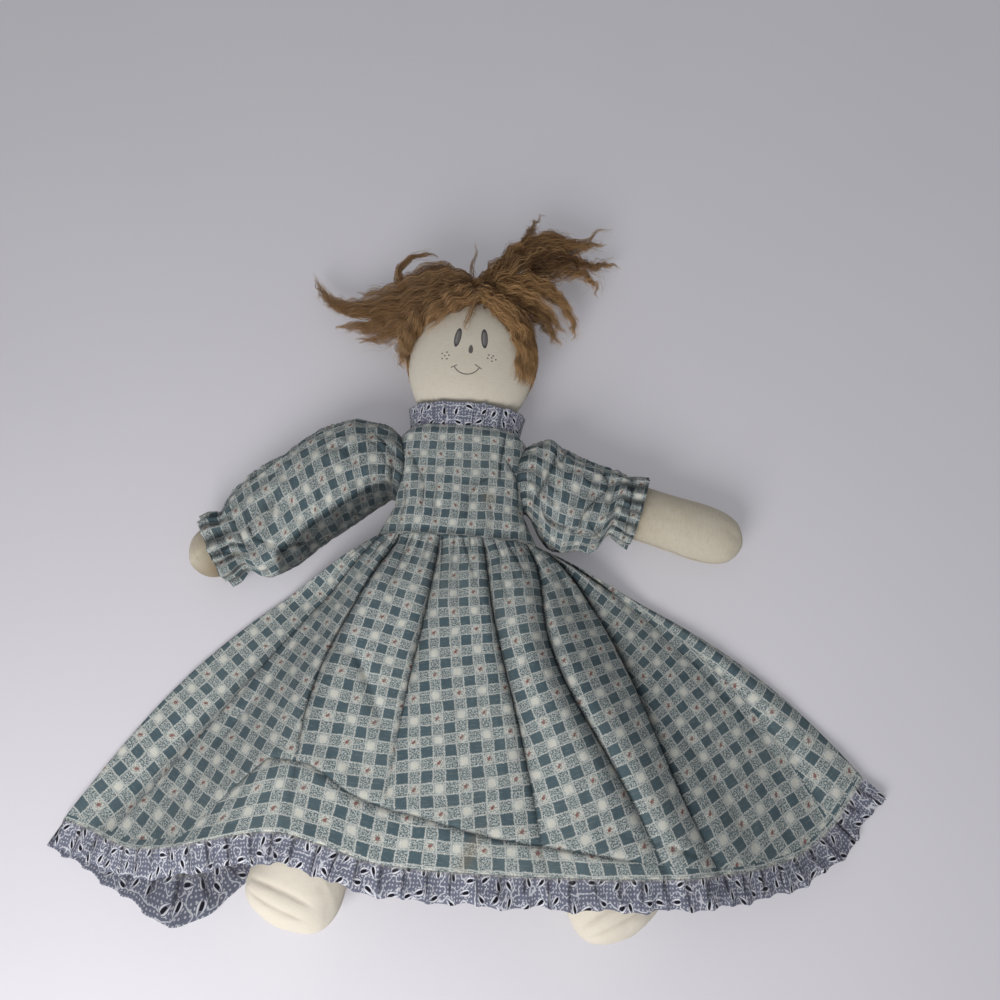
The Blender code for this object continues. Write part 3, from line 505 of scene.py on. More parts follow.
def ripples(x, y, seed, shortest, longest, waves=7):
    """Creasing of cloth: the mean of sine waves in random directions, each bent by the one before."""
    random = np.random.default_rng(seed)
    total = np.zeros_like(x)
    bend = np.zeros_like(x)
    for _ in range(waves):
        length = np.exp(random.uniform(np.log(shortest), np.log(longest)))
        turn = random.uniform(0.0, math.pi)
        wave = np.sin(math.tau * (x * math.cos(turn) + y * math.sin(turn)) / length + random.uniform(0, 6.28) + bend)
        bend = 1.3 * wave
        total += wave
    return total / waves


def make(name, points, faces, corners, finish, marks=None):
    """A mesh object from arrays: points, faces as arrays of equal-sided rows, and cloth coordinates by corner."""
    mesh = bpy.data.meshes.new(name)
    mesh.vertices.add(points.size // 3)
    mesh.vertices.foreach_set("co", np.ascontiguousarray(points, np.float32).ravel())
    loops = np.concatenate([part.ravel() for part in faces])
    sides = np.concatenate([np.full(len(part), part.shape[1]) for part in faces])
    mesh.loops.add(len(loops))
    mesh.loops.foreach_set("vertex_index", loops.astype(np.int32))
    mesh.polygons.add(len(sides))
    mesh.polygons.foreach_set("loop_start", np.concatenate([[0], np.cumsum(sides)[:-1]]).astype(np.int32))
    mesh.update(calc_edges=True)
    cloth = mesh.uv_layers.new(name="cloth")
    cloth.data.foreach_set("uv", np.ascontiguousarray(corners, np.float32).ravel())
    for key, values in (marks or {}).items():
        mark = mesh.attributes.new(key, "FLOAT", "POINT")
        mark.data.foreach_set("value", np.ascontiguousarray(values, np.float32).ravel())
    mesh.materials.append(finish)
    mesh.shade_smooth()
    thing = bpy.data.objects.new(name, mesh)
    bpy.context.scene.collection.objects.link(thing)
    return thing


def grid_faces(rows, columns, around=False, flip=False):
    """Quads of a grid of points, row by row, that closes on itself where it goes around."""
    row, column = np.meshgrid(np.arange(rows - 1), np.arange(columns if around else columns - 1), indexing="ij")
    after = (column + 1) % columns
    quads = np.stack([row * columns + column, row * columns + after, (row + 1) * columns + after,
                      (row + 1) * columns + column], -1).reshape(-1, 4)
    return quads[:, ::-1] if flip else quads


def grid_corners(cloth, flip=False):
    """Corner coordinates of a grid's quads, from coordinates at the points (one column more where it closes)."""
    rows, columns = cloth.shape[0] - 1, cloth.shape[1] - 1
    corners = np.stack([cloth[r:rows + r, c:columns + c] for r, c in AROUND], 2).reshape(-1, 4, 2)
    return corners[:, ::-1] if flip else corners


def thick(thing, offset=-1.0):
    """The piece's surface gets the cloth's thickness: under it, or half to each side for an offset of 0."""
    modifier = thing.modifiers.new("Wall", "SOLIDIFY")
    modifier.thickness = CLOTH
    modifier.offset = offset
    return thing


def runs(points, axis):
    """Lengths added up along one axis of a grid of points."""
    steps = np.linalg.norm(np.diff(points, axis=axis), axis=-1)
    start = np.zeros_like(np.take(steps, [0], axis=axis))
    return np.concatenate([start, np.cumsum(steps, axis=axis)], axis=axis)


def oval(turn, half_width, half_depth, power):
    """A ring between an ellipse (power 2) and a rounded box: cosine and sine to the power of 2 over power."""
    reach = 2.0 / power
    across = half_width * np.sign(np.cos(turn)) * np.abs(np.cos(turn)) ** reach
    rise = half_depth * np.sign(np.sin(turn)) * np.abs(np.sin(turn)) ** reach
    return across, rise


def full_turn(columns):
    """The angles of a ring's points, as a row."""
    return np.linspace(0.0, math.tau, columns, endpoint=False)[None, :]


def grid_shares(rows, columns, first=0.0):
    """Shares across, from the first to 1, and down, from 0 to 1, at each point of a grid."""
    return np.meshgrid(np.linspace(first, 1.0, columns), np.linspace(0.0, 1.0, rows))


def between(at, known, values):
    """Each column of the values, interpolated from the known places."""
    return np.stack([np.interp(at, known, values[:, k]) for k in range(values.shape[1])], -1)


# ---------------------------------------------------------------- skirt

WAIST = 21.7 * MM
WAIST_HALF = (0.060, 0.0245)
RIGHT_CORNER = -0.246
LEFT_CORNER = 0.288
# Hem lines, as shares of the way out to the corner and down to the hem
FRONT_HEM = (
    (-1.00, -0.984), (-0.80, -1.035), (-0.64, -1.010), (-0.50, -0.960), (-0.37, -0.930), (-0.25, -0.955),
    (-0.055, -1.000), (0.37, -0.984), (0.74, -0.924), (0.90, -0.815), (1.00, -0.616),
)
BACK_HEM = (
    (-1.00, -0.970), (-0.82, -1.080), (-0.67, -1.130), (-0.58, -1.095), (-0.50, -0.965), (-0.38, -0.925),
    (-0.20, -0.930), (0.10, -0.945), (0.45, -0.925), (0.76, -0.860), (0.92, -0.740), (1.00, -0.610),
)
HEM_FROM_HIP = 0.185
LEG_SPREAD = {"right": math.radians(18.6), "left": math.radians(30.0)}
LEG_REACH = {"right": 0.196, "left": 0.203}
# Heights of the cloth at the waist and over the legs, height of the back, and bulge at the right and left side
WAIST_HEIGHT = 0.0258
LEG_TENT = 0.053
BACK_HEIGHT = 0.0006
SIDE_BULGE = (-0.028, 0.036)
# Half width over the hips, and how much further out the cloth lies beyond each leg at its foot
HIP_HALF = 0.0485
LEG_ROOM = {"right": 0.03175, "left": 0.02375}
# Places of the deep folds from the waist (first) to the hem, as shares of the half width, and their depths in mm
FOLDS = (
    ((-0.745, -0.755, -0.77, -0.79, -0.83, -0.87), (5.0, 5.5, 4.5, 3.0, 2.0, 0.5), 1.5),
    ((-0.455, -0.495, -0.51, -0.485, -0.44, -0.42), (5.5, 7.0, 6.5, 4.5, 1.5, 0.5), 2.5),
    ((-0.12, -0.152, -0.183, -0.20, -0.205, -0.21), (5.5, 6.5, 6.0, 3.0, 1.0, 0.3), 1.5),
    ((0.20, 0.148, 0.153, 0.163, 0.16, 0.155), (4.5, 5.5, 5.5, 5.0, 3.0, 0.8), 2.5),
    ((0.60, 0.385, 0.332, 0.378, 0.405, 0.415), (5.0, 6.0, 5.5, 5.5, 4.0, 1.5), -2.0),
    ((0.84, 0.70, 0.618, 0.565, 0.535, 0.53), (6.0, 8.0, 7.5, 6.0, 4.0, 1.0), 2.5),
    ((0.975, 0.945, 0.92, 0.898, 0.875, 0.86), (4.0, 5.0, 5.0, 4.0, 3.0, 1.0), -1.0),
)
# The place of one printed flower in each panel between the folds, in mm, and the print's growth to the hem
FLOWERS = (
    (-117.4, -19.8), (-97.5, -63.8), (-32.5, -53.6), (8.0, -57.0), (55.4, -72.1), (97.0, -63.1), (153.1, -78.0),
    (203.2, -59.9),
)
# Which line between a panel's two folds the print follows, the print's growth over its run, and its rows' closing
PRINT_LEAN_SHARES = (0.5, 0.5, 0.62, 0.70, 0.5, 0.5, 0.72, 0.5)
GRADE = 0.31
GRADED_RUN = 0.21
ROW_CLOSING = 1.10
# The cross fold over the feet, as shares across and down
HEM_FOLD = (
    (-1.0, 0.985), (-0.66, 0.975), (-0.60, 0.87), (-0.53, 0.775), (-0.40, 0.80), (-0.30, 0.845), (-0.135, 0.862),
    (0.055, 0.908), (0.245, 0.935), (0.40, 0.965), (0.56, 0.985), (1.0, 0.985),
)
# Columns of the front, its rows under the cross fold, and shares down where the lines between panels have points
PANEL_COLUMNS = 340
STRIP = 18
DOWN = np.linspace(0.0, 1.0, 101)
# How much larger the print lies under the cross fold than it is woven, along and across the hem
STRIP_GROWTH = (1.33, 1.15)
# Shallow folds: places as shares across and down, and depth and width in mm
SOFT_FOLDS = (
    (((-0.455, 0.375), (-0.31, 0.522), (-0.24, 0.645)), 4.0, 5.0),
    (((0.33, 0.875), (0.448, 0.917), (0.56, 0.975)), 3.5, 3.0),
    (((-0.72, 0.30), (-0.70, 0.50), (-0.74, 0.72)), 2.5, 6.0),
    (((0.02, 0.30), (-0.02, 0.55), (-0.02, 0.75)), 1.5, 7.0),
    (((0.90, 0.30), (0.88, 0.60), (0.90, 0.85)), 2.5, 6.0),
    (((0.64, 0.55), (0.66, 0.75), (0.65, 0.95)), 2.0, 7.0),
    (((0.72, 0.05), (0.64, 0.12), (0.588, 0.255), (0.61, 0.37)), 3.5, 1.6),
    (((-0.42, 0.38), (-0.36, 0.46), (-0.305, 0.56)), 2.6, 1.8),
    (((-0.30, 0.02), (-0.325, 0.14), (-0.33, 0.30)), 2.4, 2.6),
    (((0.05, 0.02), (0.01, 0.12), (-0.005, 0.26)), 2.2, 2.4),
    (((0.31, 0.02), (0.25, 0.12), (0.235, 0.24)), 2.4, 2.0),
)


def hem_point(u, shares):
    """The hem's plan position for u from -1, the doll's right side, to 1, its left, in even steps along the hem."""
    known = np.array(shares)
    wide = np.where(known[:, 0] < 0.0, -RIGHT_CORNER, LEFT_CORNER) * known[:, 0]
    route = spline(np.column_stack([wide, HEM_FROM_HIP * known[:, 1]]), 200, True)
    run = runs(route, 0)
    return np.moveaxis(between((u + 1.0) / 2.0 * run[-1], run, route), -1, 0)


def leg_edge(y, side):
    """How far out the cloth lies on a leg: the hip's half width, and the leg's spread and room past the hip line."""
    spread, room, reach = (
        np.where(side < 0.0, own["right"], own["left"])
        for own in ({name: math.tan(turn) for name, turn in LEG_SPREAD.items()}, LEG_ROOM, LEG_REACH)
    )
    past = np.maximum(HIP_LINE - y, 0.0)
    return HIP_HALF + past * spread + room * smooth(past / reach)


def skirt_base(u, v, hem, front):
    """From the waist's oval to the hem, over the legs at the front and flat on the surface at the back.

    The plan goes straight from waist to hem, with a bulge at the sides that follows a sine of v. The front's
    height falls from a tent over the legs to the surface by a soft step from the leg's edge to the side.
    """
    hem_x, hem_y = hem_point(u, hem)
    waist_x, waist_z = oval(math.pi / 2.0 * (1.0 - u), *WAIST_HALF, ELLIPSE if front else BACK_POWER)
    bulge = np.where(u < 0.0, *SIDE_BULGE) * u**2 * np.sin(math.pi * v**0.85)
    x = waist_x + (hem_x - waist_x) * v + bulge
    y = WAIST + (hem_y - WAIST) * v
    if not front:
        rise = np.maximum(0.0242 - waist_z, 0.0) * (1.0 - smooth(v / 0.15))
        return np.stack([x, y, rise + BACK_HEIGHT], -1)
    edge_x = WAIST_HALF[0] * (1.0 - v) + np.abs(np.where(u < 0.0, RIGHT_CORNER, LEFT_CORNER)) * v + np.abs(bulge)
    leg = np.minimum(leg_edge(y, u), edge_x)
    fall = smooth((np.abs(x) - leg) / np.maximum(edge_x - leg, 0.0003))
    side = 0.0023 + 0.0019 * smooth((v - 0.7) / 0.3)
    tent = LEG_TENT - (LEG_TENT - side) * fall
    settle = smooth(v / 0.24)
    return np.stack([x, y, (WAIST_HEIGHT + waist_z) * (1.0 - settle) + tent * settle], -1)


def across_size(v):
    """Metres of cloth for one unit of u, at each v."""
    return 0.075 + 0.295 * v


def near_line(x, y, line):
    """Distance of plan points from a line of points, signed by side, and the share of the line beside them."""
    nearest = np.full(np.shape(x), 1e3)
    side = np.ones(np.shape(x))
    share = np.zeros(np.shape(x))
    for k, (start, end) in enumerate(zip(line[:-1], line[1:])):
        way = end - start
        part = np.clip(((x - start[0]) * way[0] + (y - start[1]) * way[1]) / (way @ way), 0.0, 1.0)
        off_x, off_y = x - start[0] - part * way[0], y - start[1] - part * way[1]
        away = np.hypot(off_x, off_y)
        closer = away < nearest
        nearest = np.where(closer, away, nearest)
        side = np.where(closer, np.sign(way[0] * off_y - way[1] * off_x), side)
        share = np.where(closer, (k + part) / (len(line) - 1.0), share)
    return nearest * side, share


def folded(x, y, folds):
    """Lift and painted shade of folds along plan lines in mm: valleys, with the cloth on their left higher by a step.
    """
    lift = np.zeros(np.shape(x))
    crease_shade = np.zeros(np.shape(x))
    for line, depth, width, step in folds:
        away, share = near_line(x, y, spline(np.array(line) * MM, 24, True))
        fade = smooth(share / 0.15 + 0.2) * smooth((1.0 - share) / 0.15 + 0.2)
        lift -= depth * MM * fade * cusp(away, width * MM)
        lift += 0.5 * step * MM * fade * np.clip(away / (0.6 * MM), -1.0, 1.0) * cusp(away, 3.5 * width * MM)
        # Painted shade on the side of the step that lies lower, and a dark line along the valley
        low = np.where(away * np.sign(step) < 0.0, 0.34, 0.0) * cusp(away, 2.2 * width * MM)
        crease_shade = np.maximum(crease_shade, fade * np.maximum(low, cusp(away, 0.55 * MM) * min(depth / 1.8, 1.0)))
    return lift, crease_shade


def fan_coordinates(points, apex_y, grade):
    """Cloth coordinates of cloth that fans out from an apex: arc length from the middle, and distance from it."""
    x, y = points[..., 0], apex_y - points[..., 1]
    far = np.hypot(x, y)
    return np.arctan2(x, y) * far / grade, far


def graded(run):
    """How much larger the print lies than its woven size: it grows evenly with the run from the waist."""
    return 1.0 + GRADE * run / GRADED_RUN


def run_cloth(run):
    """The woven length of a run from the waist: the integral of one over graded."""
    return np.log(np.maximum(graded(run), 0.2)) * GRADED_RUN / GRADE


def off_line(points, line):
    """Signed distance of plan points from a line, and how far along it they lie, by repeated projection.

    The line runs on straight by 0.2 m past both ends, and its direction turns evenly between its points.
    """
    beyond = 0.2
    first, last = unit(line[1] - line[0]), unit(line[-1] - line[-2])
    run = runs(line, 0)
    known = np.concatenate([[-beyond], run, [run[-1] + beyond]])
    route = np.concatenate([[line[0] - beyond * first], line, [line[-1] + beyond * last]])
    ways = np.concatenate([[first, first], unit(line[2:] - line[:-2]), [last, last]])
    at = np.full(points.shape[:-1], 0.1)
    for _ in range(12):
        ahead = unit(between(at, known, ways))
        away = points - between(at, known, route)
        at = np.clip(at + 0.8 * (away * ahead).sum(-1), -0.95 * beyond, run[-1] + 0.95 * beyond)
    return away[..., 1] * ahead[..., 0] - away[..., 0] * ahead[..., 1], at


def skirt_panels():
    """The lines around the front's panels, as shares across, and each column's panel and share across it."""
    border = np.array([spline(line, len(DOWN)) for line in ((-1.0,) * 6, *(fold[0] for fold in FOLDS), (1.0,) * 6)])
    wide = np.diff(border[:, -1])
    counts = np.maximum((wide / wide.sum() * PANEL_COLUMNS).astype(int), 12)
    panel = np.append(np.repeat(np.arange(len(counts)), counts), len(counts) - 1)
    part = np.append(np.concatenate([np.arange(count) / count for count in counts]), 1.0)
    return border, panel, part


def skirt_grid(rows, border, panel, part):
    """Shares across (u) and down (v): columns keep to their panels, and a row follows the cross fold.

    Each depends on the other, so they are worked out in four rounds. Also gives the u of each panel's left border
    and the cross fold's v.
    """
    s = np.linspace(0.0, 1.0, rows)[:, None] * np.ones(len(panel))
    seam = 1.0 - STRIP / (rows - 1.0)
    v = s
    for _ in range(4):
        low, high = (
            np.array([np.interp(v[:, c], DOWN, border[k + step]) for c, k in enumerate(panel)]).T for step in (0, 1)
        )
        u = low + (high - low) * part
        fold_v = np.interp(u, *np.array(HEM_FOLD).T)
        v = np.where(s <= seam, s / seam * fold_v, fold_v + (s - seam) / (1.0 - seam) * (1.0 - fold_v))
    return u, v, high, fold_v


def skirt_folds(x, y, u, v, border_u, part, fold_v):
    """Lift and painted shade of the front: deep folds, pillows between them, shallow folds, gathers and the cross
    fold.

    A fold is a cusp across its line. A pillow is a sine across its panel times a sine down it, and it is as high
    as the panel's left border lies to the left, less the last fold's shade: at the doll's right it is a hollow.
    A gather is a cusp that fades out from the waist. The cross fold lifts one side of its line and drops the other.
    """
    size = across_size(v)
    lift = np.zeros_like(u)
    crease_shade = np.zeros_like(u)
    for line, depth, step in FOLDS:
        deep = np.interp(v, DOWN, spline(depth, len(DOWN))) * MM
        away = (u - np.interp(v, DOWN, spline(line, len(DOWN)))) * size
        lift -= deep * cusp(away, 0.0022 + 0.0040 * v)
        side = np.where(away < 0.0, 0.5, -0.5) * np.minimum(np.abs(away) / 0.0012, 1.0)
        lift += step * MM * side * cusp(away, 0.009) * deep / (5.0 * MM)
        # Painted shade: a band beside the fold on its lower side, and a dark line along its valley
        shade = np.where(away * step > 0.0, 0.42, 0.0) * cusp(away, 0.0065) * np.minimum(deep / (5.0 * MM), 1.0)
        crease_shade = np.maximum(crease_shade, np.maximum(shade, cusp(away, 0.0012) * deep / (4.5 * MM)))
    pillow = np.sin(math.pi * part) ** 0.8 * np.minimum((border_u - shade) * size * 0.075, 0.0055)
    lift += pillow * np.sin(math.pi * np.clip(v * 0.92 + 0.06, 0.0, 1.0)) ** 0.7
    for line, depth, width in SOFT_FOLDS:
        line_u, line_v = np.array(line).T
        fade = smooth((v - line_v[0]) / 0.10 + 0.3) * smooth((line_v[-1] - v) / 0.10 + 0.3)
        lift -= depth * MM * fade * cusp((u - np.interp(v, line_v, line_u)) * size, width * MM)
    random = np.random.default_rng(3)
    for place in np.linspace(-0.97, 0.97, 34):
        at = place + random.uniform(-0.02, 0.02)
        deep = random.uniform(1.0, 3.0) * MM
        length = random.uniform(0.06, 0.26)
        drift = random.uniform(-0.06, 0.06)
        fade = np.clip(1.0 - v / length, 0.0, 1.0) ** 0.8 * smooth(v / 0.008 + 0.25)
        away = (u - at - drift * v / length) * size
        lift -= deep * fade * cusp(away, 0.0014)
        # Painted shade along each gather
        crease_shade = np.maximum(crease_shade, cusp(away, 0.0008) * fade * deep / (2.2 * MM))
    mask = smooth((u + 0.64) / 0.08) * smooth((0.44 - u) / 0.18)
    gap = (fold_v - v) * 0.22
    over = np.where(gap >= 0.0, 2.6 * cusp(gap, 0.014) - 3.4 * cusp(gap, 0.0016), -0.8 * cusp(gap, 0.004) + 0.6)
    lift += mask * over * MM
    lift += 0.9 * MM * ripples(x, y, 5, 0.018, 0.070) + 0.45 * MM * ripples(x, y, 6, 0.008, 0.02)
    # Painted shade along the cross fold's line
    return lift, np.maximum(crease_shade, mask * cusp(gap, 0.0014) * 0.8)


def skirt_print(points, border, panel):
    """Cloth coordinates at each quad's corners.

    A panel's print is measured off and along a line between its two folds, from one flower's place, and divided
    by its growth. The strip under the cross fold has its own, along and up from the hem.
    """
    rows, columns = points.shape[:2]
    mapped = np.zeros((rows - 1, columns - 1, 4, 2))
    for k in range(panel[-1] + 1):
        line = border[k] + (border[k + 1] - border[k]) * PRINT_LEAN_SHARES[k]
        middle = skirt_base(line, DOWN, FRONT_HEM, True)[..., :2]
        if k in (0, panel[-1]):
            middle = middle[0] + (middle[-1] - middle[0]) * DOWN[:, None]
        own = np.flatnonzero(panel[:-1] == k)
        aside, run = off_line(points[:, own[0]:own[-1] + 2, :2], middle)
        flower_aside, flower_run = off_line(np.array(FLOWERS[k]) * MM, middle)
        aside = aside / graded(run) - flower_aside / graded(flower_run) + 0.75 * CHECK_PITCH
        run = (run_cloth(run) - run_cloth(flower_run)) * ROW_CLOSING + 1.75 * CHECK_PITCH
        mapped[:, own] = grid_corners(np.stack([aside, run], -1)).reshape(rows - 1, len(own), 4, 2)
    along = np.broadcast_to(runs(points[-1:], 1) / STRIP_GROWTH[0], (rows, columns))
    up = 0.3 - np.linalg.norm(points - points[-1:], axis=-1) / STRIP_GROWTH[1]
    strip = grid_corners(np.stack([along, up], -1)).reshape(rows - 1, columns - 1, 4, 2)
    mapped[rows - STRIP - 1:] = strip[rows - STRIP - 1:]
    return mapped.reshape(-1, 4, 2)


def skirt_front():
    """The base form, lifted by its folds, with the print laid on panel by panel, painted shade in the folds and a
    stain over the left foot.
    """
    rows = 132
    border, panel, part = skirt_panels()
    u, v, border_u, fold_v = skirt_grid(rows, border, panel, part)
    points = skirt_base(u, v, FRONT_HEM, True)
    x, y, base = np.moveaxis(points, -1, 0)
    room = smooth((base - 0.002) / 0.014)
    lift, crease_shade = skirt_folds(x, y, u, v, border_u, part, fold_v)
    lifted = np.where(lift > 0.0, lift, lift * room) * (0.25 + 0.75 * smooth(v / 0.03))
    points[..., 2] = np.maximum(base + lifted + 0.0012, 0.0014)
    stain = np.exp(-(((x - 0.027 - 0.35 * (y + 0.176)) / 0.0045) ** 2 + ((y + 0.174) / 0.012) ** 2)) * 0.9
    piece = make("skirt_front_cloth", points, [grid_faces(rows, len(panel), flip=True)],
                 skirt_print(points, border, panel)[:, ::-1], CHECK,
                 {"crease_shade": np.clip(crease_shade, 0, 1) * room, "stain": stain})
    return thick(piece), points


def skirt_back():
    """The base form with pleats that fade to the hem: a power of a sine across, and a print that fans out."""
    rows, columns = 70, 260
    u, v = grid_shares(rows, columns, -1.0)
    points = skirt_base(u, v, BACK_HEM, False)
    fold = np.abs(np.sin(math.pi * 17.0 * u + 1.4 * np.sin(5.0 * u))) ** 0.7
    points[..., 2] += 1.0 * MM * fold * (1.0 - 0.7 * smooth(v)) * smooth(v / 0.05) * (1.0 - np.abs(u) ** 8)
    cloth_u, cloth_v = fan_coordinates(points, 0.072, 1.0 + GRADE * v)
    # Painted shade in the pleats' valleys
    piece = make("skirt_back_cloth", points, [grid_faces(rows, columns)],
                 grid_corners(np.stack([cloth_u, cloth_v / 1.1], -1)), CHECK, {"crease_shade": (1.0 - fold) ** 4 * 0.5})
    return thick(piece), points


def hem_ruffle(name, hem, wide, gathers, swing, drop, seed, flap=0.0, shaded=0.0):
    """A gathered strip along a hem row of points: pleats at the seam that open into waves at the free edge.

    A phase with uneven steps counts the gathers. Its sawtooth tilts each pleat, a cusp draws in the valley
    between two, and slower sines swing the free edge and its length. A bell curve adds the flap at the corner.
    """
    columns, rows = 1100, 13
    run = runs(hem, 0)
    at = np.linspace(0.0, run[-1], columns)
    edge = between(at, run, hem)
    ahead = np.gradient(edge, axis=0) * (1.0, 1.0, 0.0)
    kernel = np.hanning(41) / np.hanning(41).sum()
    ahead = unit(np.column_stack([np.convolve(np.pad(part, 20, mode="edge"), kernel, "valid") for part in ahead.T]))
    outward = np.column_stack([ahead[:, 1], -ahead[:, 0], np.zeros(columns)])
    random = np.random.default_rng(seed)
    phase = np.cumsum(random.uniform(0.55, 1.45, columns)) / columns * gathers * math.tau
    broad = np.sin(phase / 3.3 + random.uniform(0, 6.0)) + 0.6 * np.sin(phase / 5.1)
    v = np.linspace(0.0, 1.0, rows)[:, None]
    saw = (phase / math.tau) % 1.0
    valley = cusp(np.minimum(saw, 1.0 - saw), 0.055)
    lengths = random.uniform(0.15, 1.0, int(phase[-1] / math.tau) + 2)[(phase / math.tau).astype(int)]
    kept = smooth((0.35 + lengths - v) / 0.35)
    height = (1.5 * (0.5 - saw) * (0.5 + 0.8 * v) - 1.5 * valley * kept + 0.5 * v * np.sin(phase + 0.8)) * MM
    height = height + swing * smooth(v) * (1.0 + broad) * 0.5
    corner = flap * np.exp(-((edge[:, 0] + 0.163) / 0.022) ** 2)
    long = wide * v * (1.0 + 0.05 * np.sin(phase / 2.7) + 0.025 * np.sin(phase + 1.0) + corner)
    sway = 0.5 * MM * v * np.cos(phase)
    points = edge + outward * (long[..., None] + 0.2 * MM) + ahead * sway[..., None]
    points[..., 2] = np.maximum(edge[:, 2] + height - drop * v, 0.4 * MM)
    points[0, :, 2] = edge[:, 2] - 0.3 * MM
    cloth = np.stack(np.broadcast_arrays(at * 1.25, wide * v), -1)
    # Painted shade in the valleys between gathers and on each pleat's back, plus shaded as an even painted shade over
    # the whole strip
    crease_shade = np.clip((1.25 * valley + 0.38 * cusp(saw, 0.22)) * kept + shaded, 0.0, 1.0)
    edging = np.exp(-v / 0.035) * (0.6 + 0.4 * np.sin(phase * 4.0))
    return thick(make(name, points, [grid_faces(rows, columns, flip=True)], grid_corners(cloth, True), PAISLEY,
                      {"crease_shade": crease_shade, "edging": edging}))


# ---------------------------------------------------------------- bodice, neck ruffle and sleeves

UP_THE_BACK = (math.sin(math.atan(LEAN)), math.cos(math.atan(LEAN)), 0.0)
NECK = (NECK_REACH * UP_THE_BACK[0], NECK_REACH * UP_THE_BACK[1])
# The bodice's top edge, its waist seam and its length, and half widths and depths by share of the way up
BODICE_TOP = 0.1062
WAIST_SEAM = 0.0210
BODICE_LENGTH = 0.0852
BODICE_SIZES = ((0.0, 0.0590, 0.0245), (0.28, 0.0470, 0.0245), (0.92, 0.0470, 0.0245), (1.0, 0.0410, 0.0215))
# Folds in mm across and up the doll: their lines, depths, widths and how much higher the left side of the line lies
BODICE_FOLDS = (
    (((-42.5, 88.0), (-33.2, 72.0), (-28.0, 62.8), (-26.2, 53.4), (-26.5, 38.0)), 1.6, 1.2, 0.8),
    (((28.5, 102.0), (27.0, 87.3), (26.4, 76.4), (26.5, 66.0)), 2.0, 1.2, -1.0),
    (((28.3, 84.0), (34.8, 75.5), (38.6, 68.9), (40.5, 56.2), (42.5, 42.0)), 1.6, 1.3, -0.8),
    (((22.0, 68.0), (11.7, 60.9), (6.8, 51.5), (5.4, 34.0)), 1.3, 2.2, 0.4),
    (((-16.7, 62.0), (-16.9, 46.7), (-14.3, 30.0)), 1.0, 1.6, 0.3),
    (((-41.0, 60.0), (-39.0, 45.0), (-42.0, 28.0)), 1.4, 1.8, 0.6),
    (((44.0, 58.0), (46.0, 44.0), (50.0, 30.0)), 1.6, 1.5, -0.5),
    (((20.0, 50.0), (24.0, 38.0), (22.0, 27.0)), 0.9, 2.0, 0.3),
)
SLEEVE_FOLDS = {
    "right": (
        (((-123.3, 3.0), (-119.7, 8.9), (-103.1, 14.9), (-84.9, 26.6), (-76.6, 37.0), (-66.0, 37.8)), 4.5, 1.3, 3.6),
        (((-67.9, 95.3), (-54.7, 82.8), (-51.6, 68.1), (-52.8, 52.2), (-57.9, 36.9)), 2.6, 1.2, -1.6),
        (((-75.3, 90.8), (-62.2, 83.6), (-56.1, 72.3), (-58.0, 60.0)), 1.7, 1.2, -1.0),
        (((-63.0, 72.0), (-60.0, 62.0), (-63.0, 50.0)), 1.3, 1.1, -0.6),
        (((-101.8, 75.3), (-88.8, 81.0), (-80.8, 74.5)), 1.6, 1.4, 0.8),
        (((-165.0, 27.7), (-155.5, 19.3), (-148.9, 7.3), (-136.2, 6.0)), 2.8, 1.2, 1.2),
        (((-172.3, -3.4), (-161.8, -0.1), (-151.0, 0.5), (-136.4, 5.4)), 3.0, 1.3, 1.8),
        (((-149.0, 22.0), (-141.4, 12.1), (-128.4, 7.3), (-115.7, 5.1)), 2.2, 1.2, 0.9),
        (((-152.0, 33.0), (-146.0, 24.0), (-144.0, 15.0)), 1.6, 1.1, 0.8),
    ),
    "left": (
        (((66.3, 97.0), (64.0, 80.1), (59.0, 67.5), (54.0, 55.8), (50.5, 48.4)), 2.6, 1.1, -3.4),
        (((74.0, 94.2), (70.1, 86.2), (64.2, 80.7)), 2.2, 1.2, -1.4),
        (((95.8, 82.7), (104.6, 69.3), (94.4, 55.5), (87.1, 45.0), (84.7, 33.3)), 2.6, 1.2, -1.2),
        (((56.9, 43.9), (71.0, 37.0), (83.4, 32.8), (95.6, 32.2), (103.1, 41.1)), 2.6, 1.2, 2.2),
        (((89.2, 40.7), (101.3, 31.9), (114.4, 33.6)), 2.0, 1.1, 1.2),
        (((122.6, 82.2), (121.0, 61.5), (119.3, 42.6), (117.0, 28.6)), 1.8, 0.9, -1.2),
        (((112.0, 72.0), (108.0, 60.0), (110.0, 48.0)), 1.2, 1.2, 0.6),
        (((52.0, 90.0), (56.0, 83.0), (63.0, 80.0)), 1.2, 1.1, 0.6),
    ),
}
ARMHOLE_MIDDLE = 0.0735
ARMHOLE_HALF = (0.0262, 0.0158)


def bodice_side(y, height, upper):
    """How far out the bodice's oval lies at a height over or under its middle."""
    at, half_width, half_depth = np.array(BODICE_SIZES).T
    share = (y - WAIST_SEAM) / BODICE_LENGTH
    wide, deep = np.interp(share, at, half_width), np.interp(share, at, half_depth)
    power = np.where(upper, FRONT_POWER, BACK_POWER)
    return wide * np.maximum(1.0 - np.abs(height / deep) ** power, 0.0) ** (1.0 / power)


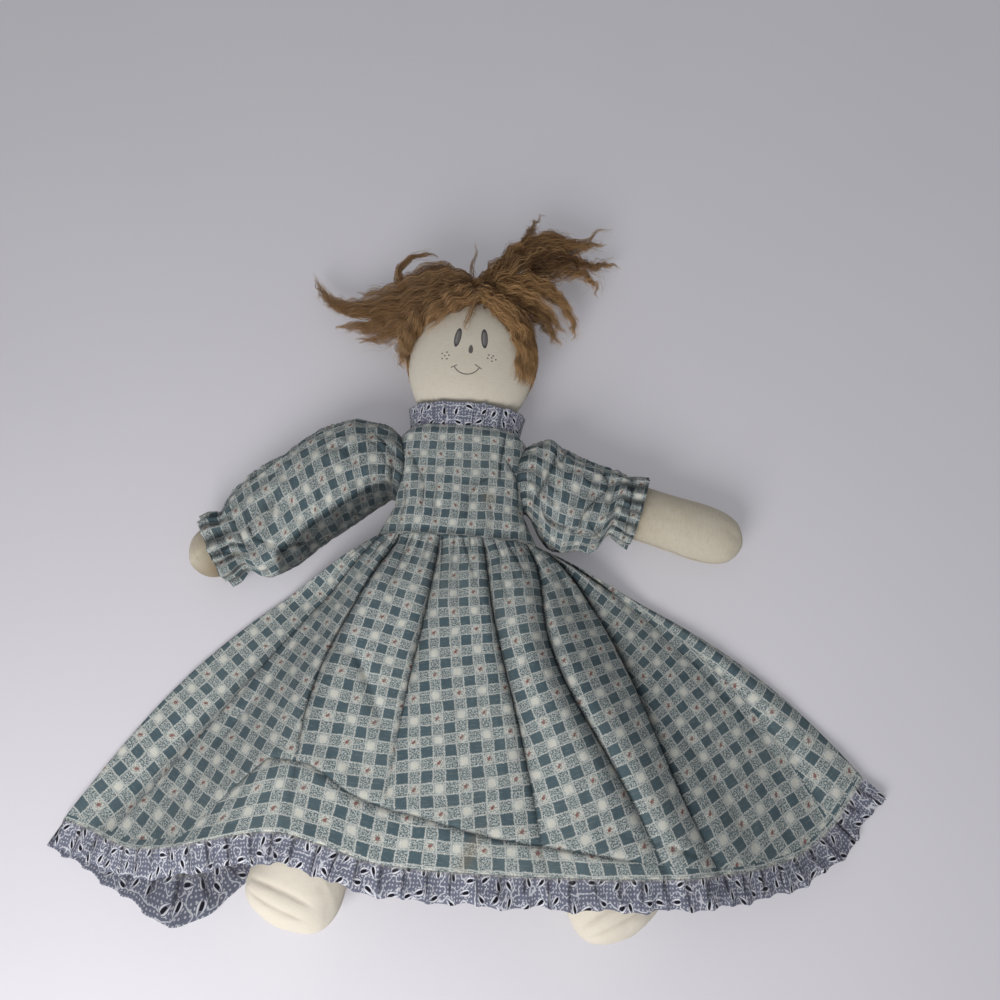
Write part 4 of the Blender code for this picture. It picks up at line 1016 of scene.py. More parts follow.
def bodice(name, front):
    """Half of an oval tube around the torso, open at the armholes; the front has tucks from collar to waist seam."""
    rows, columns = 80, 150
    u, v = grid_shares(rows, columns, -1.0)
    at, half_width, half_depth = np.array(BODICE_SIZES).T
    power = ELLIPSE + (FRONT_POWER - ELLIPSE) * smooth((1.0 - v) / 0.28) if front else BACK_POWER
    wide, deep = np.interp(1.0 - v, at, half_width), np.interp(1.0 - v, at, half_depth)
    across, rise = oval(math.pi / 2.0 * (1.0 - u), wide, deep, power)
    y = BODICE_TOP - BODICE_LENGTH * v
    x = across + LEAN * y
    points = np.stack([x, y, DRESS_HEIGHT + (rise if front else -rise)], -1)
    crease_shade = np.zeros_like(u)
    if front:
        lift, crease_shade = folded(x, y, BODICE_FOLDS)
        lift += 1.0 * MM * ripples(x, y, 21, 0.014, 0.05) + 0.35 * MM * ripples(x, y, 22, 0.006, 0.012)
        over_seam = (1.0 - v) * 0.085
        lift += 0.7 * MM * cusp(over_seam - 0.001, 0.0016) + 1.4 * MM * smooth((v - 0.93) / 0.07)
        # Painted shade: a dark line in the groove of the waist seam, where the cloth puffs over it
        crease_shade = np.maximum(crease_shade, cusp(over_seam, 0.0009) * 0.9)
        points[..., 2] += lift * (1.0 - np.abs(u) ** 4)
    around = runs(points, 1)
    cloth = np.stack([around - around[:, columns // 2:columns // 2 + 1], -0.0032 - runs(points, 0)], -1)
    faces = grid_faces(rows, columns, flip=front)
    middle = points.reshape(-1, 3)[faces].mean(1)
    hole = np.hypot((middle[:, 1] - ARMHOLE_MIDDLE) / (ARMHOLE_HALF[0] - 0.002),
                    (middle[:, 2] - DRESS_HEIGHT) / (ARMHOLE_HALF[1] - 0.0015)) < 1.0
    kept = ~(hole & (np.abs(middle[:, 0]) > 0.03))
    stain = np.exp(-(((points[..., 0] - 0.020) / 0.005) ** 2 + ((y - 0.052) / 0.004) ** 2))
    return thick(make(name, points, [faces[kept]], grid_corners(cloth, front)[kept], CHECK,
                      {"crease_shade": crease_shade, "stain": stain}))


def neck_ruffle():
    """A gathered strip around the neck: its lower edge follows the bodice and its upper edge waves outwards.

    A phase counts the gathers. Cusps of its half sine draw them in, less at the seam than at the free edge, and
    the strip flares with the height's power of 1.5.
    """
    rows, columns, gathers = 18, 720, 21
    turn = full_turn(columns)
    phase = gathers * turn + 1.6 * np.sin(5.0 * turn + 1.0) + 1.1 * np.sin(9.0 * turn)
    v = np.linspace(0.0, 1.0, rows)[:, None]
    drawn = cusp(np.sin(phase / 2.0), 0.13)
    out = (3.0 * v**1.5 + (0.3 * np.sin(phase) - 1.5 * drawn) * (0.35 + 0.65 * v) + 0.4) * MM
    along = 0.1050 + v * (0.0184 + 0.0005 * np.sin(phase * 0.5 + 1.0) + 0.0004 * np.sin(phase * 1.7))
    lean = 0.5 * MM * np.sin(phase) * v * np.sin(turn)
    points = np.stack([NECK[0] + (0.0408 + out) * np.cos(turn) + lean, along,
                       np.maximum(DRESS_HEIGHT + (0.0213 + out) * np.sin(turn), 0.0012)], -1)
    cloth = np.stack(np.broadcast_arrays(np.linspace(0.0, 0.295, columns + 1), v * 0.019), -1)
    # Painted shade in the gathers' valleys, less toward the free edge
    crease_shade = drawn**1.5 * (0.9 - 0.3 * v)
    edging = np.broadcast_to(cusp(v - 0.99, 0.02) * 0.4, crease_shade.shape)
    return thick(make("neck_ruffle_strip", points, [grid_faces(rows, columns, True)], grid_corners(cloth), PAISLEY,
                      {"crease_shade": crease_shade, "edging": edging}), 0.0)


ARM_REACH = 0.1515
SLEEVE_PRINT = {"right": 1.08, "left": 1.0}
# Sizes that the sleeves' outlines are shares of, and the height of their underside over the surface
SLEEVE_SIZE = (0.086, 0.047)
SLEEVE_UNDERSIDE = 0.0013
# The arm's stations: shares of its reach, half width and half depth
ARM_SHARES = ((0.28, 0.94, 1.00), (0.62, 0.92, 0.92), (0.84, 1.04, 0.86), (0.96, 0.80, 0.62), (1.00, 0.28, 0.22))
DROOP = {"right": math.radians(31.5), "left": math.radians(13.5)}
SHOULDER = {side: np.array((SIDE[side] * 0.0598 + LEAN * 0.074, 0.074, 0.024)) for side in SIDE}
ELASTIC_REACH = {"right": 0.78 * ARM_REACH, "left": 0.39 * ARM_REACH}
# Sleeve outlines: shares of the way to the elastic, head-side and foot-side edges in shares of 86 mm, height in
# shares of 47 mm and the share of the armhole's own direction
SLEEVES = {
    "right": (
        (-0.136, 0.23, -0.29, 0.98, 1.0), (0.06, 0.48, -0.30, 1.04, 0.6), (0.26, 0.55, -0.33, 1.08, 0.25),
        (0.50, 0.49, -0.37, 1.03, 0.1), (0.72, 0.46, -0.43, 0.94, 0.0), (0.90, 0.37, -0.41, 0.88, 0.0),
    ),
    "left": (
        (-0.211, 0.27, -0.24, 0.98, 1.0), (0.06, 0.34, -0.52, 1.02, 1.0), (0.34, 0.30, -0.55, 1.04, 0.6),
        (0.62, 0.27, -0.49, 1.00, 0.0), (0.86, 0.28, -0.44, 0.92, 0.0),
    ),
}


def arm_way(side):
    """Directions along the arm and square to it, toward the head, in the plan."""
    cosine, sine = math.cos(DROOP[side]), math.sin(DROOP[side])
    return np.array((SIDE[side] * cosine, -sine, 0.0)), np.array((SIDE[side] * sine, cosine, 0.0))


def arm_half_sizes(distance):
    """Half width and half depth of the arm at a distance from the shoulder, straight between its stations."""
    wide, deep = between(distance / ARM_REACH, [share[0] for share in ARM_SHARES], np.array(ARM_SHARES)[:, 1:])
    return wide * ARM_HALF[0], deep * ARM_HALF[1]


def sleeve_rings(side, rows):
    """Plan middle, height, direction and half sizes of each ring, by a curve through the outline and the cuff.

    Also gives each ring's distance from the armhole and from the elastic.
    """
    along, square = arm_way(side)
    reach = ELASTIC_REACH[side]
    pivot = SHOULDER[side] * (1.0, 1.0, 0.0)
    known = []
    for far, head_edge, foot_edge, top, turned in SLEEVES[side]:
        across = unit(turned * np.array((0.0, 1.0, 0.0)) + (1.0 - turned) * square)
        centre = pivot + far * reach * along + SLEEVE_SIZE[0] * (head_edge + foot_edge) / 2.0 * across
        height = top * SLEEVE_SIZE[1]
        known.append([*centre[:2], (height + SLEEVE_UNDERSIDE) / 2.0, *across[:2],
                      SLEEVE_SIZE[0] * (head_edge - foot_edge) / 2.0, (height - SLEEVE_UNDERSIDE) / 2.0])
    for past, out in ((-0.0025, 0.0030), (0.0025, 0.0028), (0.008, 0.0048), (0.015, 0.0066)):
        distance = reach + past
        wide, deep = arm_half_sizes(distance)
        centre = pivot + distance * along
        known.append([*centre[:2], 0.024 - 0.005 * distance / ARM_REACH, *square[:2], wide + out, deep + out])
    known = np.array(known)
    lengths = runs(known[:, :2], 0)
    fine_run = np.interp(np.linspace(0, len(known) - 1, 400), np.arange(len(known)), lengths)
    at = np.linspace(0.0, lengths[-1], rows)
    rings = between(at, fine_run, spline(known, 400, True))
    return rings, at[:, None], (lengths[len(SLEEVES[side])] + 0.0025 - at)[:, None]


def sleeve(side):
    """A puffed tube from the armhole to the elastic, drawn in there, and a frill past it.

    Ovals of power 2.3 follow the rings. Out of them stand gathers, a power of a sine of an uneven phase that
    fades from the elastic and the armhole, and ripples as creases. The first rings blend into the armhole's seam.
    """
    rows, columns = 110, 132
    rings, at, from_elastic = sleeve_rings(side, rows)
    turn = full_turn(columns)
    sides = np.sin(turn)
    puff = smooth(from_elastic / 0.012) * smooth(at / 0.006)
    random = np.random.default_rng(31 if side == "right" else 32)
    phase = 15.0 * turn + 1.3 * np.sin(3.0 * turn + 1.0) + 0.8 * np.sin(7.0 * turn + random.uniform(0.0, 6.0))
    sharp = 1.0 - 2.0 * np.abs(np.sin(phase / 2.0)) ** 0.7
    gathers = np.exp(-np.maximum(from_elastic, 0.0) / 0.013)
    head_gathers = np.exp(-at / 0.014)
    out = 1.8 * MM * sharp * gathers * smooth(np.abs(from_elastic) / 0.004 + 0.25)
    out = out + 0.9 * MM * sharp * head_gathers
    out = out + np.clip(-from_elastic / 0.0125, 0.0, 1.0) * 1.3 * MM * np.sin(phase / 2.0 + 0.7)
    around = turn * np.mean(rings[:, 5]) * 1.1
    run = at * np.ones_like(turn)
    fold = ripples(run + 0.5 * around, around - 0.3 * run, 41 if side == "right" else 42, 0.016, 0.055, 6)
    fold = 1.0 - 2.2 * np.abs(fold) ** 0.7
    out = out + 1.9 * MM * fold * puff * smooth(sides * 1.5 + 0.7)
    out = out + 0.7 * MM * ripples(run, around, 43, 0.008, 0.02) * puff
    if side == "left":
        out = out + 6.5 * MM * np.exp(-((at - 0.020) / 0.007) ** 2) * np.exp(-((turn - 0.75) / 0.30) ** 2)
    wide, rise = oval(turn, rings[:, 5:6], rings[:, 6:7], SLEEVE_POWER)
    normal = unit(np.stack([np.cos(turn) * rings[:, 6:7], sides * rings[:, 5:6]], -1))
    wide = wide + out * normal[..., 0]
    points = np.stack([rings[:, 0:1] + wide * rings[:, 3:4], rings[:, 1:2] + wide * rings[:, 4:5],
                       rings[:, 2:3] + rise + out * normal[..., 1]], -1)
    seam_y = ARMHOLE_MIDDLE + ARMHOLE_HALF[0] * np.cos(turn[0])
    seam_z = ARMHOLE_HALF[1] * sides[0]
    seam_x = SIDE[side] * (bodice_side(seam_y, seam_z, seam_z > 0.0) - 0.4 * MM) + LEAN * seam_y
    seam = np.column_stack([seam_x, seam_y, DRESS_HEIGHT + seam_z])
    joined = smooth(1.0 - at / 0.0075)
    points = points * (1.0 - joined[..., None]) + seam * joined[..., None]
    top = smooth(sides * 2.0 + 0.2)
    own_lift, own_crease_shade = folded(points[..., 0], points[..., 1], SLEEVE_FOLDS[side])
    points[..., 2] = np.maximum(points[..., 2] + own_lift * top * (1.0 - joined), 1.2 * MM)
    least = 0.6 * np.linalg.norm(np.diff(points[rows // 2], axis=0), axis=1).sum()
    full = np.maximum(runs(points, 1)[:, -1], least)
    full = np.convolve(np.pad(full, 8, mode="edge"), np.ones(17) / 17, "valid")[:, None]
    cloth_u = (np.linspace(0.0, 1.0, columns + 1) - 0.25) * full * SIDE[side]
    cloth = np.stack(np.broadcast_arrays(cloth_u, runs(points, 0).mean(1)[:, None]), -1) / SLEEVE_PRINT[side]
    # Painted shade in the gathers, in the valleys of the folds and in the groove of the armhole seam
    crease_shade = np.clip(-sharp, 0, 1) ** 2 * np.maximum(gathers, head_gathers) * 0.85
    crease_shade = crease_shade + np.clip(-fold - 0.1, 0, 1) * puff * 0.34
    crease_shade = np.maximum(np.maximum(crease_shade, own_crease_shade * top), cusp(at - 0.0012, 0.0011) * 0.95)
    if side == "right":
        # The sleeve's underside gets painted shadow from its longest fold to the armhole
        beyond = near_line(points[..., 0], points[..., 1], np.array(SLEEVE_FOLDS[side][0][0]) * MM)[0]
        under = np.maximum(smooth(-beyond / (0.8 * MM)), smooth((0.80 - sides) / 0.08) * (np.cos(turn) < 0.0))
        crease_shade = np.maximum(crease_shade, 0.86 * under * smooth((points[..., 0] + 0.128) / 0.005))
    return thick(make(side + "_sleeve_cloth", points, [grid_faces(rows, columns, True, flip=side == "right")],
                      grid_corners(cloth, side == "right"), CHECK, {"crease_shade": crease_shade}))


# ---------------------------------------------------------------- stuffed muslin


def bag(name, origin, along, stations, finish, shape=None, rows=90, columns=96, shade=None):
    """A stuffed bag: ovals whose sizes follow a B-spline through the stations, closed by a point at each end.

    A station is a distance, half width, half depth and lift. Shape adds to the half sizes, and shade adds painted
    shade.
    """
    along = np.array(along)
    across = np.cross(UP, along)
    sizes = spline(stations, rows)
    turn = full_turn(columns)
    far, wide, deep, lift = (sizes[:, k:k + 1] for k in range(4))
    out = np.zeros((rows, columns)) if shape is None else shape(far, turn)
    across_by = (wide + out) * np.cos(turn)
    up_by = (deep + out) * np.sin(turn) + lift
    points = np.array(origin) + far[..., None] * along + across_by[..., None] * across + up_by[..., None] * UP
    cloth_u = (np.linspace(0.0, 1.0, columns + 1) - 0.25) * math.pi * (wide + deep)
    cloth = np.stack(np.broadcast_arrays(cloth_u, runs(points, 0).mean(1)[:, None]), -1)
    # A dark line along each side seam: partly its stitching, partly painted shade in its groove
    seam = np.minimum(np.abs(np.sin(turn)) * wide.max() / 0.0006, 8.0)
    crease_shade = np.exp(-seam) * 0.8 * np.ones((rows, 1))
    if shade is not None:
        crease_shade = np.maximum(crease_shade, shade(far, turn))
    ends = np.arange(columns)[None, :]
    faces = [grid_faces(rows, columns, True, True), ends, ends[:, ::-1] + (rows - 1) * columns]
    corners = np.concatenate([grid_corners(cloth, True).reshape(-1, 2), cloth[0, :-1], cloth[-1, :-1][::-1]])
    return make(name, points, faces, corners, finish, {"crease_shade": crease_shade})


def lumps(seed, size=0.5, shortest=0.012, longest=0.05):
    """Uneven stuffing as ripples, and a seam along each side."""
    def shape(far, turn):
        """The ripples, less a cusp for each seam's groove, and a fine sine along the groove for its puckers."""
        side = 0.02 * np.cos(turn) * np.ones_like(far)
        high = 0.02 * np.sin(turn) + far
        swell = size * MM * ripples(side + 0.3 * far, high, seed, shortest, longest)
        pucker = 0.12 * MM * cusp(np.sin(turn), 0.12) * np.sin(far / 0.0022)
        return swell + pucker - 0.45 * MM * cusp(np.sin(turn), 0.05)
    return shape


def ball(radius, width, depth):
    """Stations of the rounded end at a joint: cosine and sine of four angles."""
    turns = np.radians((0.0, 8.0, 42.0, 84.0))
    return [(-radius * math.cos(t) - (0.0005 if t == 0 else 0.0), width * math.sin(t), depth * math.sin(t), 0.0)
            for t in turns]


def arm(side):
    """A bag along the arm, gathered at its tip; the right one has a seam line on the hand and more painted shade."""
    right = side == "right"
    along, _ = arm_way(side)
    stations = ball(SHOULDER_RADIUS, SHOULDER_RADIUS, SHOULDER_RADIUS)
    for share, wide, deep in ARM_SHARES:
        stations.append((share * ARM_REACH, wide * ARM_HALF[0], deep * ARM_HALF[1], -0.005 * share))
    stations.append((1.008 * ARM_REACH, 0.0, 0.0, -0.005))
    base = lumps(51 if right else 52, 0.45)
    cuff = ELASTIC_REACH[side] + 0.015

    def shape(far, turn):
        """The stuffing, and pleats at the tip: a power of a sine around it, under a bell curve along it."""
        tip = np.exp(-((far - 0.145) / 0.006) ** 2)
        lines = np.abs(np.sin(4.0 * turn + 0.6)) ** 0.6 - 0.7
        return base(far, turn) + 0.7 * MM * tip * lines * np.minimum(1.0, (0.148 - far) / 0.004)

    def shade(far, turn):
        """Painted shade: dark at the cuff, fading by an exponential, and at the right arm low down and along the
        hand's seam too.
        """
        near = (1.0 if right else 0.55) * np.exp(-np.maximum(far - cuff, 0.0) / 0.011)
        if not right:
            return near
        low = 0.7 * smooth(-np.cos(turn) * SIDE[side] - 0.1)
        line = 0.6 * cusp(far - 0.1445 + 0.004 * np.cos(turn) ** 2, 0.0009) * smooth(2.0 * np.sin(turn))
        return np.maximum(near + low, line)

    return bag(side + "_arm_muslin", SHOULDER[side], along, stations, MUSLIN, shape, shade=shade)


# The leg's stations: shares of its reach, half width and half depth; the left toe turns out a little more
LEG_SHARES = (
    (0.30, 0.80, 1.00), (0.68, 0.76, 0.96), (0.86, 1.08, 1.00), (0.955, 0.97, 0.82), (0.985, 0.40, 0.36),
    (0.995, 0.0, 0.0),
)
TOE_OUT = math.radians(1.5)


def leg(side):
    """A bag along the leg: the foot has two pinched creases across its top and a flatter outer face."""
    reach = LEG_REACH[side]
    turned = LEG_SPREAD[side] + (TOE_OUT if side == "left" else 0.0)
    stations = ball(HIP_RADIUS, HIP_RADIUS, LEG_HALF[1])
    for share, wide, deep in LEG_SHARES:
        stations.append((share * reach, wide * LEG_HALF[0], deep * LEG_HALF[1], 0.0))
    base = lumps(61 if side == "right" else 62, 0.6)

    def pinched(far, turn, first, first_width, second, second_width):
        """The two creases with their strengths and widths, which fade out toward the sides."""
        bent = far - reach + 0.0250 - 0.0045 * np.cos(turn) ** 2
        lines = first * cusp(bent, first_width) + second * cusp(far - reach + 0.0150, second_width)
        return lines * smooth(1.7 - 2.0 * np.abs(np.cos(turn) + 0.15))

    def shape(far, turn):
        """The stuffing, less the creases and a soft step for the flatter outer face, both on the top."""
        facet = 0.9 * smooth((np.cos(turn) * LEG_HALF[0] - 0.008) / 0.016) * smooth((far - reach + 0.040) / 0.02)
        creases = pinched(far, turn, 1.9, 0.0017, 1.3, 0.0015)
        return base(far, turn) - (creases + facet) * MM * smooth(np.sin(turn) * 2.0 - 0.2)

    def shade(far, turn):
        """Painted shade: thin dark lines along the creases, on the top."""
        return 0.9 * pinched(far, turn, 1.0, 0.0010, 0.8, 0.0009) * smooth(np.sin(turn) * 2.0 - 0.2)

    return bag(side + "_leg_muslin", (SIDE[side] * 0.026, HIP_LINE, BODY_HEIGHT),
               (SIDE[side] * math.sin(turned), -math.cos(turned), 0.0), stations, FEET, shape, rows=200, shade=shade)


def torso():
    """A bag from a rounded seat, wide at the hips, up to a round neck."""
    half_width, half = TORSO_HALF
    stations = [(-half, 0.0, 0.0, 0.0)]
    for turn, wide in ((12.0, 0.86), (50.0, 1.10)):
        t = math.radians(turn)
        stations.append((-half * math.cos(t), wide * half_width, half * math.sin(t), 0.0))
    for share, wide, deep in ((0.10, 1.08, 1.00), (0.45, 1.00, 1.00), (0.84, 0.99, 0.96), (0.99, 0.66, 0.74)):
        stations.append((share * TORSO_LENGTH, wide * half_width, deep * half, 0.0))
    for turn in (66.0, 14.0):
        out = NECK_RADIUS * math.sin(math.radians(turn))
        stations.append((NECK_REACH + NECK_RADIUS * math.cos(math.radians(turn)), out, out, 0.0))
    stations.append((NECK_REACH + NECK_RADIUS + 0.2 * MM, 0.0, 0.0, 0.0))
    return bag("torso_muslin", (0.0, 0.0, BODY_HEIGHT), UP_THE_BACK, stations, MUSLIN, lumps(71, 0.4))


HEAD_WIDTH = 0.093
HEAD_DEPTH = 0.051
HEAD_LENGTH = 0.111
# The head's stations: shares of its length, width and depth. The chin lies on the neck's ball, with a small gap
HEAD_SHARES = (
    (0.00, 0.13, 0.16), (0.035, 0.58, 0.52), (0.15, 0.89, 0.85), (0.36, 1.05, 1.02), (0.62, 1.05, 1.03),
    (0.90, 0.78, 0.80), (0.995, 0.34, 0.36),
)
CHIN = NECK[1] + math.sqrt(NECK_RADIUS**2 - (HEAD_SHARES[0][1] * HEAD_WIDTH / 2.0) ** 2) + 0.0003
HEAD_LIFT = 0.0070
# The hairline's height over the chin at the nape, and how much it rises from there to the forehead
HAIRLINE = (0.019, 0.074)


def head_stations():
    """The head's stations, which lift by a soft step from the neck to the chin."""
    stations = [(0.0, 0.0, 0.0, 0.0)]
    for share, wide, deep in HEAD_SHARES:
        lift = HEAD_LIFT * float(smooth(share / 0.16))
        stations.append((share * HEAD_LENGTH, wide * HEAD_WIDTH / 2.0, deep * HEAD_DEPTH / 2.0, lift))
    return stations + [(1.004 * HEAD_LENGTH, 0.0, 0.0, HEAD_LIFT)]


def head():
    """A bag from the neck to the crown."""
    return bag("head_muslin", (NECK[0], CHIN, BODY_HEIGHT), (0.0, 1.0, 0.0), head_stations(), FACE,
               lumps(81, 0.35, 0.03, 0.09), rows=120, columns=128)


def hair_mat():
    """The head's own surface, a little larger, kept from the hairline, which rises with the height, to the crown."""
    rows, columns = 100, 128
    out = 0.9 * MM
    turn = full_turn(columns)
    far, wide, deep, lift = (spline(head_stations(), rows)[:, k:k + 1] for k in range(4))
    up = np.minimum(CHIN + far + out * (far / HEAD_LENGTH * 2.0 - 1.0), CHIN + HEAD_LENGTH + 1.5 * MM)
    height = lift + (deep + out) * np.sin(turn)
    points = np.stack(np.broadcast_arrays(NECK[0] - (wide + out) * np.cos(turn), up, BODY_HEIGHT + height), -1)
    hairline = CHIN + HAIRLINE[0] + HAIRLINE[1] * (height + HEAD_DEPTH / 2.0) / HEAD_DEPTH
    faces = grid_faces(rows, columns, True)
    inside = (up > hairline - 0.001).reshape(-1)[faces].all(1)
    cloth = np.stack(np.broadcast_arrays(np.linspace(0.0, 0.25, columns + 1), far), -1)
    crown = np.arange(columns)[None, :] + (rows - 1) * columns
    corners = np.concatenate([grid_corners(cloth)[inside].reshape(-1, 2), cloth[-1, :-1]])
    return make("hair_mat", points, [faces[inside], crown], corners, MAT)


# ---------------------------------------------------------------- mohair

# Routes of the locks, from root to tip: across, up the doll, off the surface and radius, in mm. Then the number
# of strands and of clumps
LOCKS = {
    "right_bunch_upper_lock": (
        (((-8, 222, 50, 6), (-26, 222, 50, 10), (-44, 216, 46, 12), (-70, 210, 36, 11), (-100, 210, 24, 7),
          (-121, 218, 18, 4.5), (-135, 231, 16, 2.5), (-144, 247, 14, 1)), 620, 11),
        (((-10, 226, 46, 4), (-22, 233, 44, 5), (-38, 237, 44, 6), (-54, 230, 40, 6), (-68, 224, 34, 5),
          (-90, 224, 27, 3), (-104, 226, 24, 1)), 260, 6),
    ),
    "right_looped_lock": (
        (((-50, 214, 44, 3), (-61, 218, 46, 2.4), (-66, 229, 50, 2), (-60, 243, 48, 1.9),
          (-49, 252, 44, 1.6), (-38, 254, 40, 1.2), (-33, 250, 36, 0.5)), 120, 3),
    ),
    "right_bunch_lower_lock": (
        (((-20, 212, 50, 6), (-34, 207, 44, 9), (-50, 202, 36, 10), (-70, 198, 26, 9), (-90, 197, 18, 6),
          (-110, 199, 13, 4), (-120, 197, 10, 1.2)), 520, 10),
        (((-44, 200, 38, 5), (-62, 192, 26, 5), (-84, 188, 16, 3), (-104, 190, 10, 1)), 160, 4),
    ),
    "right_temple_lock": (
        (((-28, 205, 50, 5), (-43, 194, 47, 7), (-51, 180, 42, 8), (-54, 168, 38, 7), (-56, 158, 34, 4)),
          420, 9),
        (((-46, 190, 40, 4), (-53, 176, 38, 5), (-54, 163, 36, 4), (-51, 151, 34, 2)), 160, 5),
    ),
    "right_forehead_lock": (
        (((-5, 213, 54, 6), (-15, 205, 57, 7), (-27, 198, 55, 6), (-41, 189, 48, 5), (-49, 177, 42, 3)),
          480, 14),
        (((4, 216, 54, 5), (-2, 206, 57, 4), (-12, 201, 58, 3), (-22, 196, 57, 1.5)), 120, 6),
        (((-12, 208, 57, 2.4), (-21, 196, 59, 2), (-30, 183, 58, 1.6), (-38, 172, 54, 0.6)), 34, 3),
        (((-2, 207, 58, 2.4), (-4, 194, 60, 2.0), (-8, 181, 60.5, 1.2), (-6, 174, 60.5, 0.6)), 30, 4),
        (((-8, 206, 57, 2.0), (-16, 196, 59.5, 1.6), (-20, 184, 60, 1.0)), 18, 3),
        (((-16, 216, 52, 4), (-6, 221, 50, 5), (6, 222, 49, 5), (18, 220, 48, 4)), 220, 9),
        (((-18, 222, 44, 4), (-6, 227, 42, 5), (6, 228, 41, 5), (18, 226, 42, 4)), 160, 7),
    ),
    "left_bunch_arched_lock": (
        (((2, 222, 48, 7), (14, 235, 46, 11), (27, 257, 38, 11), (40, 276, 32, 9), (55, 288, 28, 7),
          (69, 284, 24, 5), (80, 268, 20, 2)), 560, 10),
        (((60, 284, 26, 2), (82, 288, 26, 1.6), (91, 301, 24, 1), (106, 306, 20, 0.4)), 26, 2),
    ),
    "left_bunch_spike_lock": (
        (((8, 226, 46, 5), (20, 244, 42, 7), (32, 274, 34, 5), (38, 298, 28, 3), (46, 318, 22, 0.8)),
          240, 5),
        (((14, 232, 46, 3), (17, 248, 47, 3.4), (19, 260, 46, 3), (27, 266, 44, 2.6), (34, 262, 40, 1.6)),
          130, 3),
        (((-6, 226, 46, 2), (-9, 243, 44, 1.5), (-7, 258, 42, 1.2), (-10, 271, 40, 0.5)), 16, 2),
    ),
    "left_bunch_outer_lock": (
        (((30, 258, 36, 8), (46, 274, 32, 8), (64, 279, 28, 5), (80, 283, 25, 3), (94, 290, 21, 1.8),
          (107, 287, 18, 0.6)), 210, 5),
        (((34, 252, 36, 8), (52, 264, 31, 8), (70, 268, 25, 5), (86, 266, 21, 3), (100, 272, 18, 1.4),
          (116, 272, 15, 0.5)), 210, 5),
        (((36, 246, 36, 7), (58, 256, 29, 7), (78, 260, 22, 4), (91, 253, 17, 2.4), (93, 240, 14, 0.6)),
          180, 4),
    ),
    "left_bunch_lower_lock": (
        (((10, 219, 50, 7), (28, 219, 45, 9), (47, 217, 35, 8), (62, 209, 24, 5), (73, 200, 16, 1.2)),
          330, 6),
        (((16, 226, 48, 6), (42, 231, 41, 8), (61, 227, 31, 5), (74, 213, 20, 3), (75, 198, 14, 1)),
          330, 6),
        (((32, 214, 40, 5), (50, 209, 31, 5), (59, 200, 22, 3), (67, 190, 15, 0.8)), 140, 4),
    ),
    "left_cheek_lock": (
        (((8, 211, 54, 5), (19, 202, 53, 8), (30, 189, 49, 9), (36, 175, 46, 9), (38, 160, 43, 10),
          (36, 148, 41, 9), (32, 140, 39, 6)), 980, 22),
    ),
    "left_forehead_lock": (
        (((0, 215, 54, 6), (9, 206, 57, 7), (21, 198, 55, 7), (32, 189, 50, 6), (40, 176, 44, 4)), 520, 14),
        (((4, 208, 57, 2), (14, 200, 58, 2), (24, 191, 54, 1.6), (29, 180, 49, 0.8)), 40, 3),
        (((10, 212, 56, 3), (22, 206, 53, 4), (36, 198, 46, 4), (44, 186, 40, 3), (50, 172, 36, 1)),
          150, 6),
    ),
}
# The ellipsoid that stands for the head where strands are kept off it
HEAD_MIDDLE = np.array((NECK[0], CHIN + 0.0565, 0.0300))
HEAD_HALF = np.array((0.0480, 0.0570, 0.0262))
# Points along a lock's route and along a strand, radius of the strands, and the number of those on the crown
ROUTE_POINTS = 160
STRAND_POINTS = 24
LOCK_STRAND = 0.18 * MM
CROWN_STRAND = 0.30 * MM
CROWN_STRANDS = 1250


def off_head(points, layer):
    """Points inside the head's ellipsoid move straight out to a layer over it."""
    from_middle = (points - HEAD_MIDDLE) / (HEAD_HALF + layer)
    far = np.linalg.norm(from_middle, axis=-1, keepdims=True)
    return HEAD_MIDDLE + from_middle / np.minimum(np.maximum(far, 1e-6), 1.0) * (HEAD_HALF + layer)


def frames(line):
    """Two directions square to a line at each of its points."""
    ahead = unit(np.gradient(line, axis=0))
    side = unit(np.cross(ahead, np.array((0.13, 0.21, 1.0))))
    return side, np.cross(ahead, side)


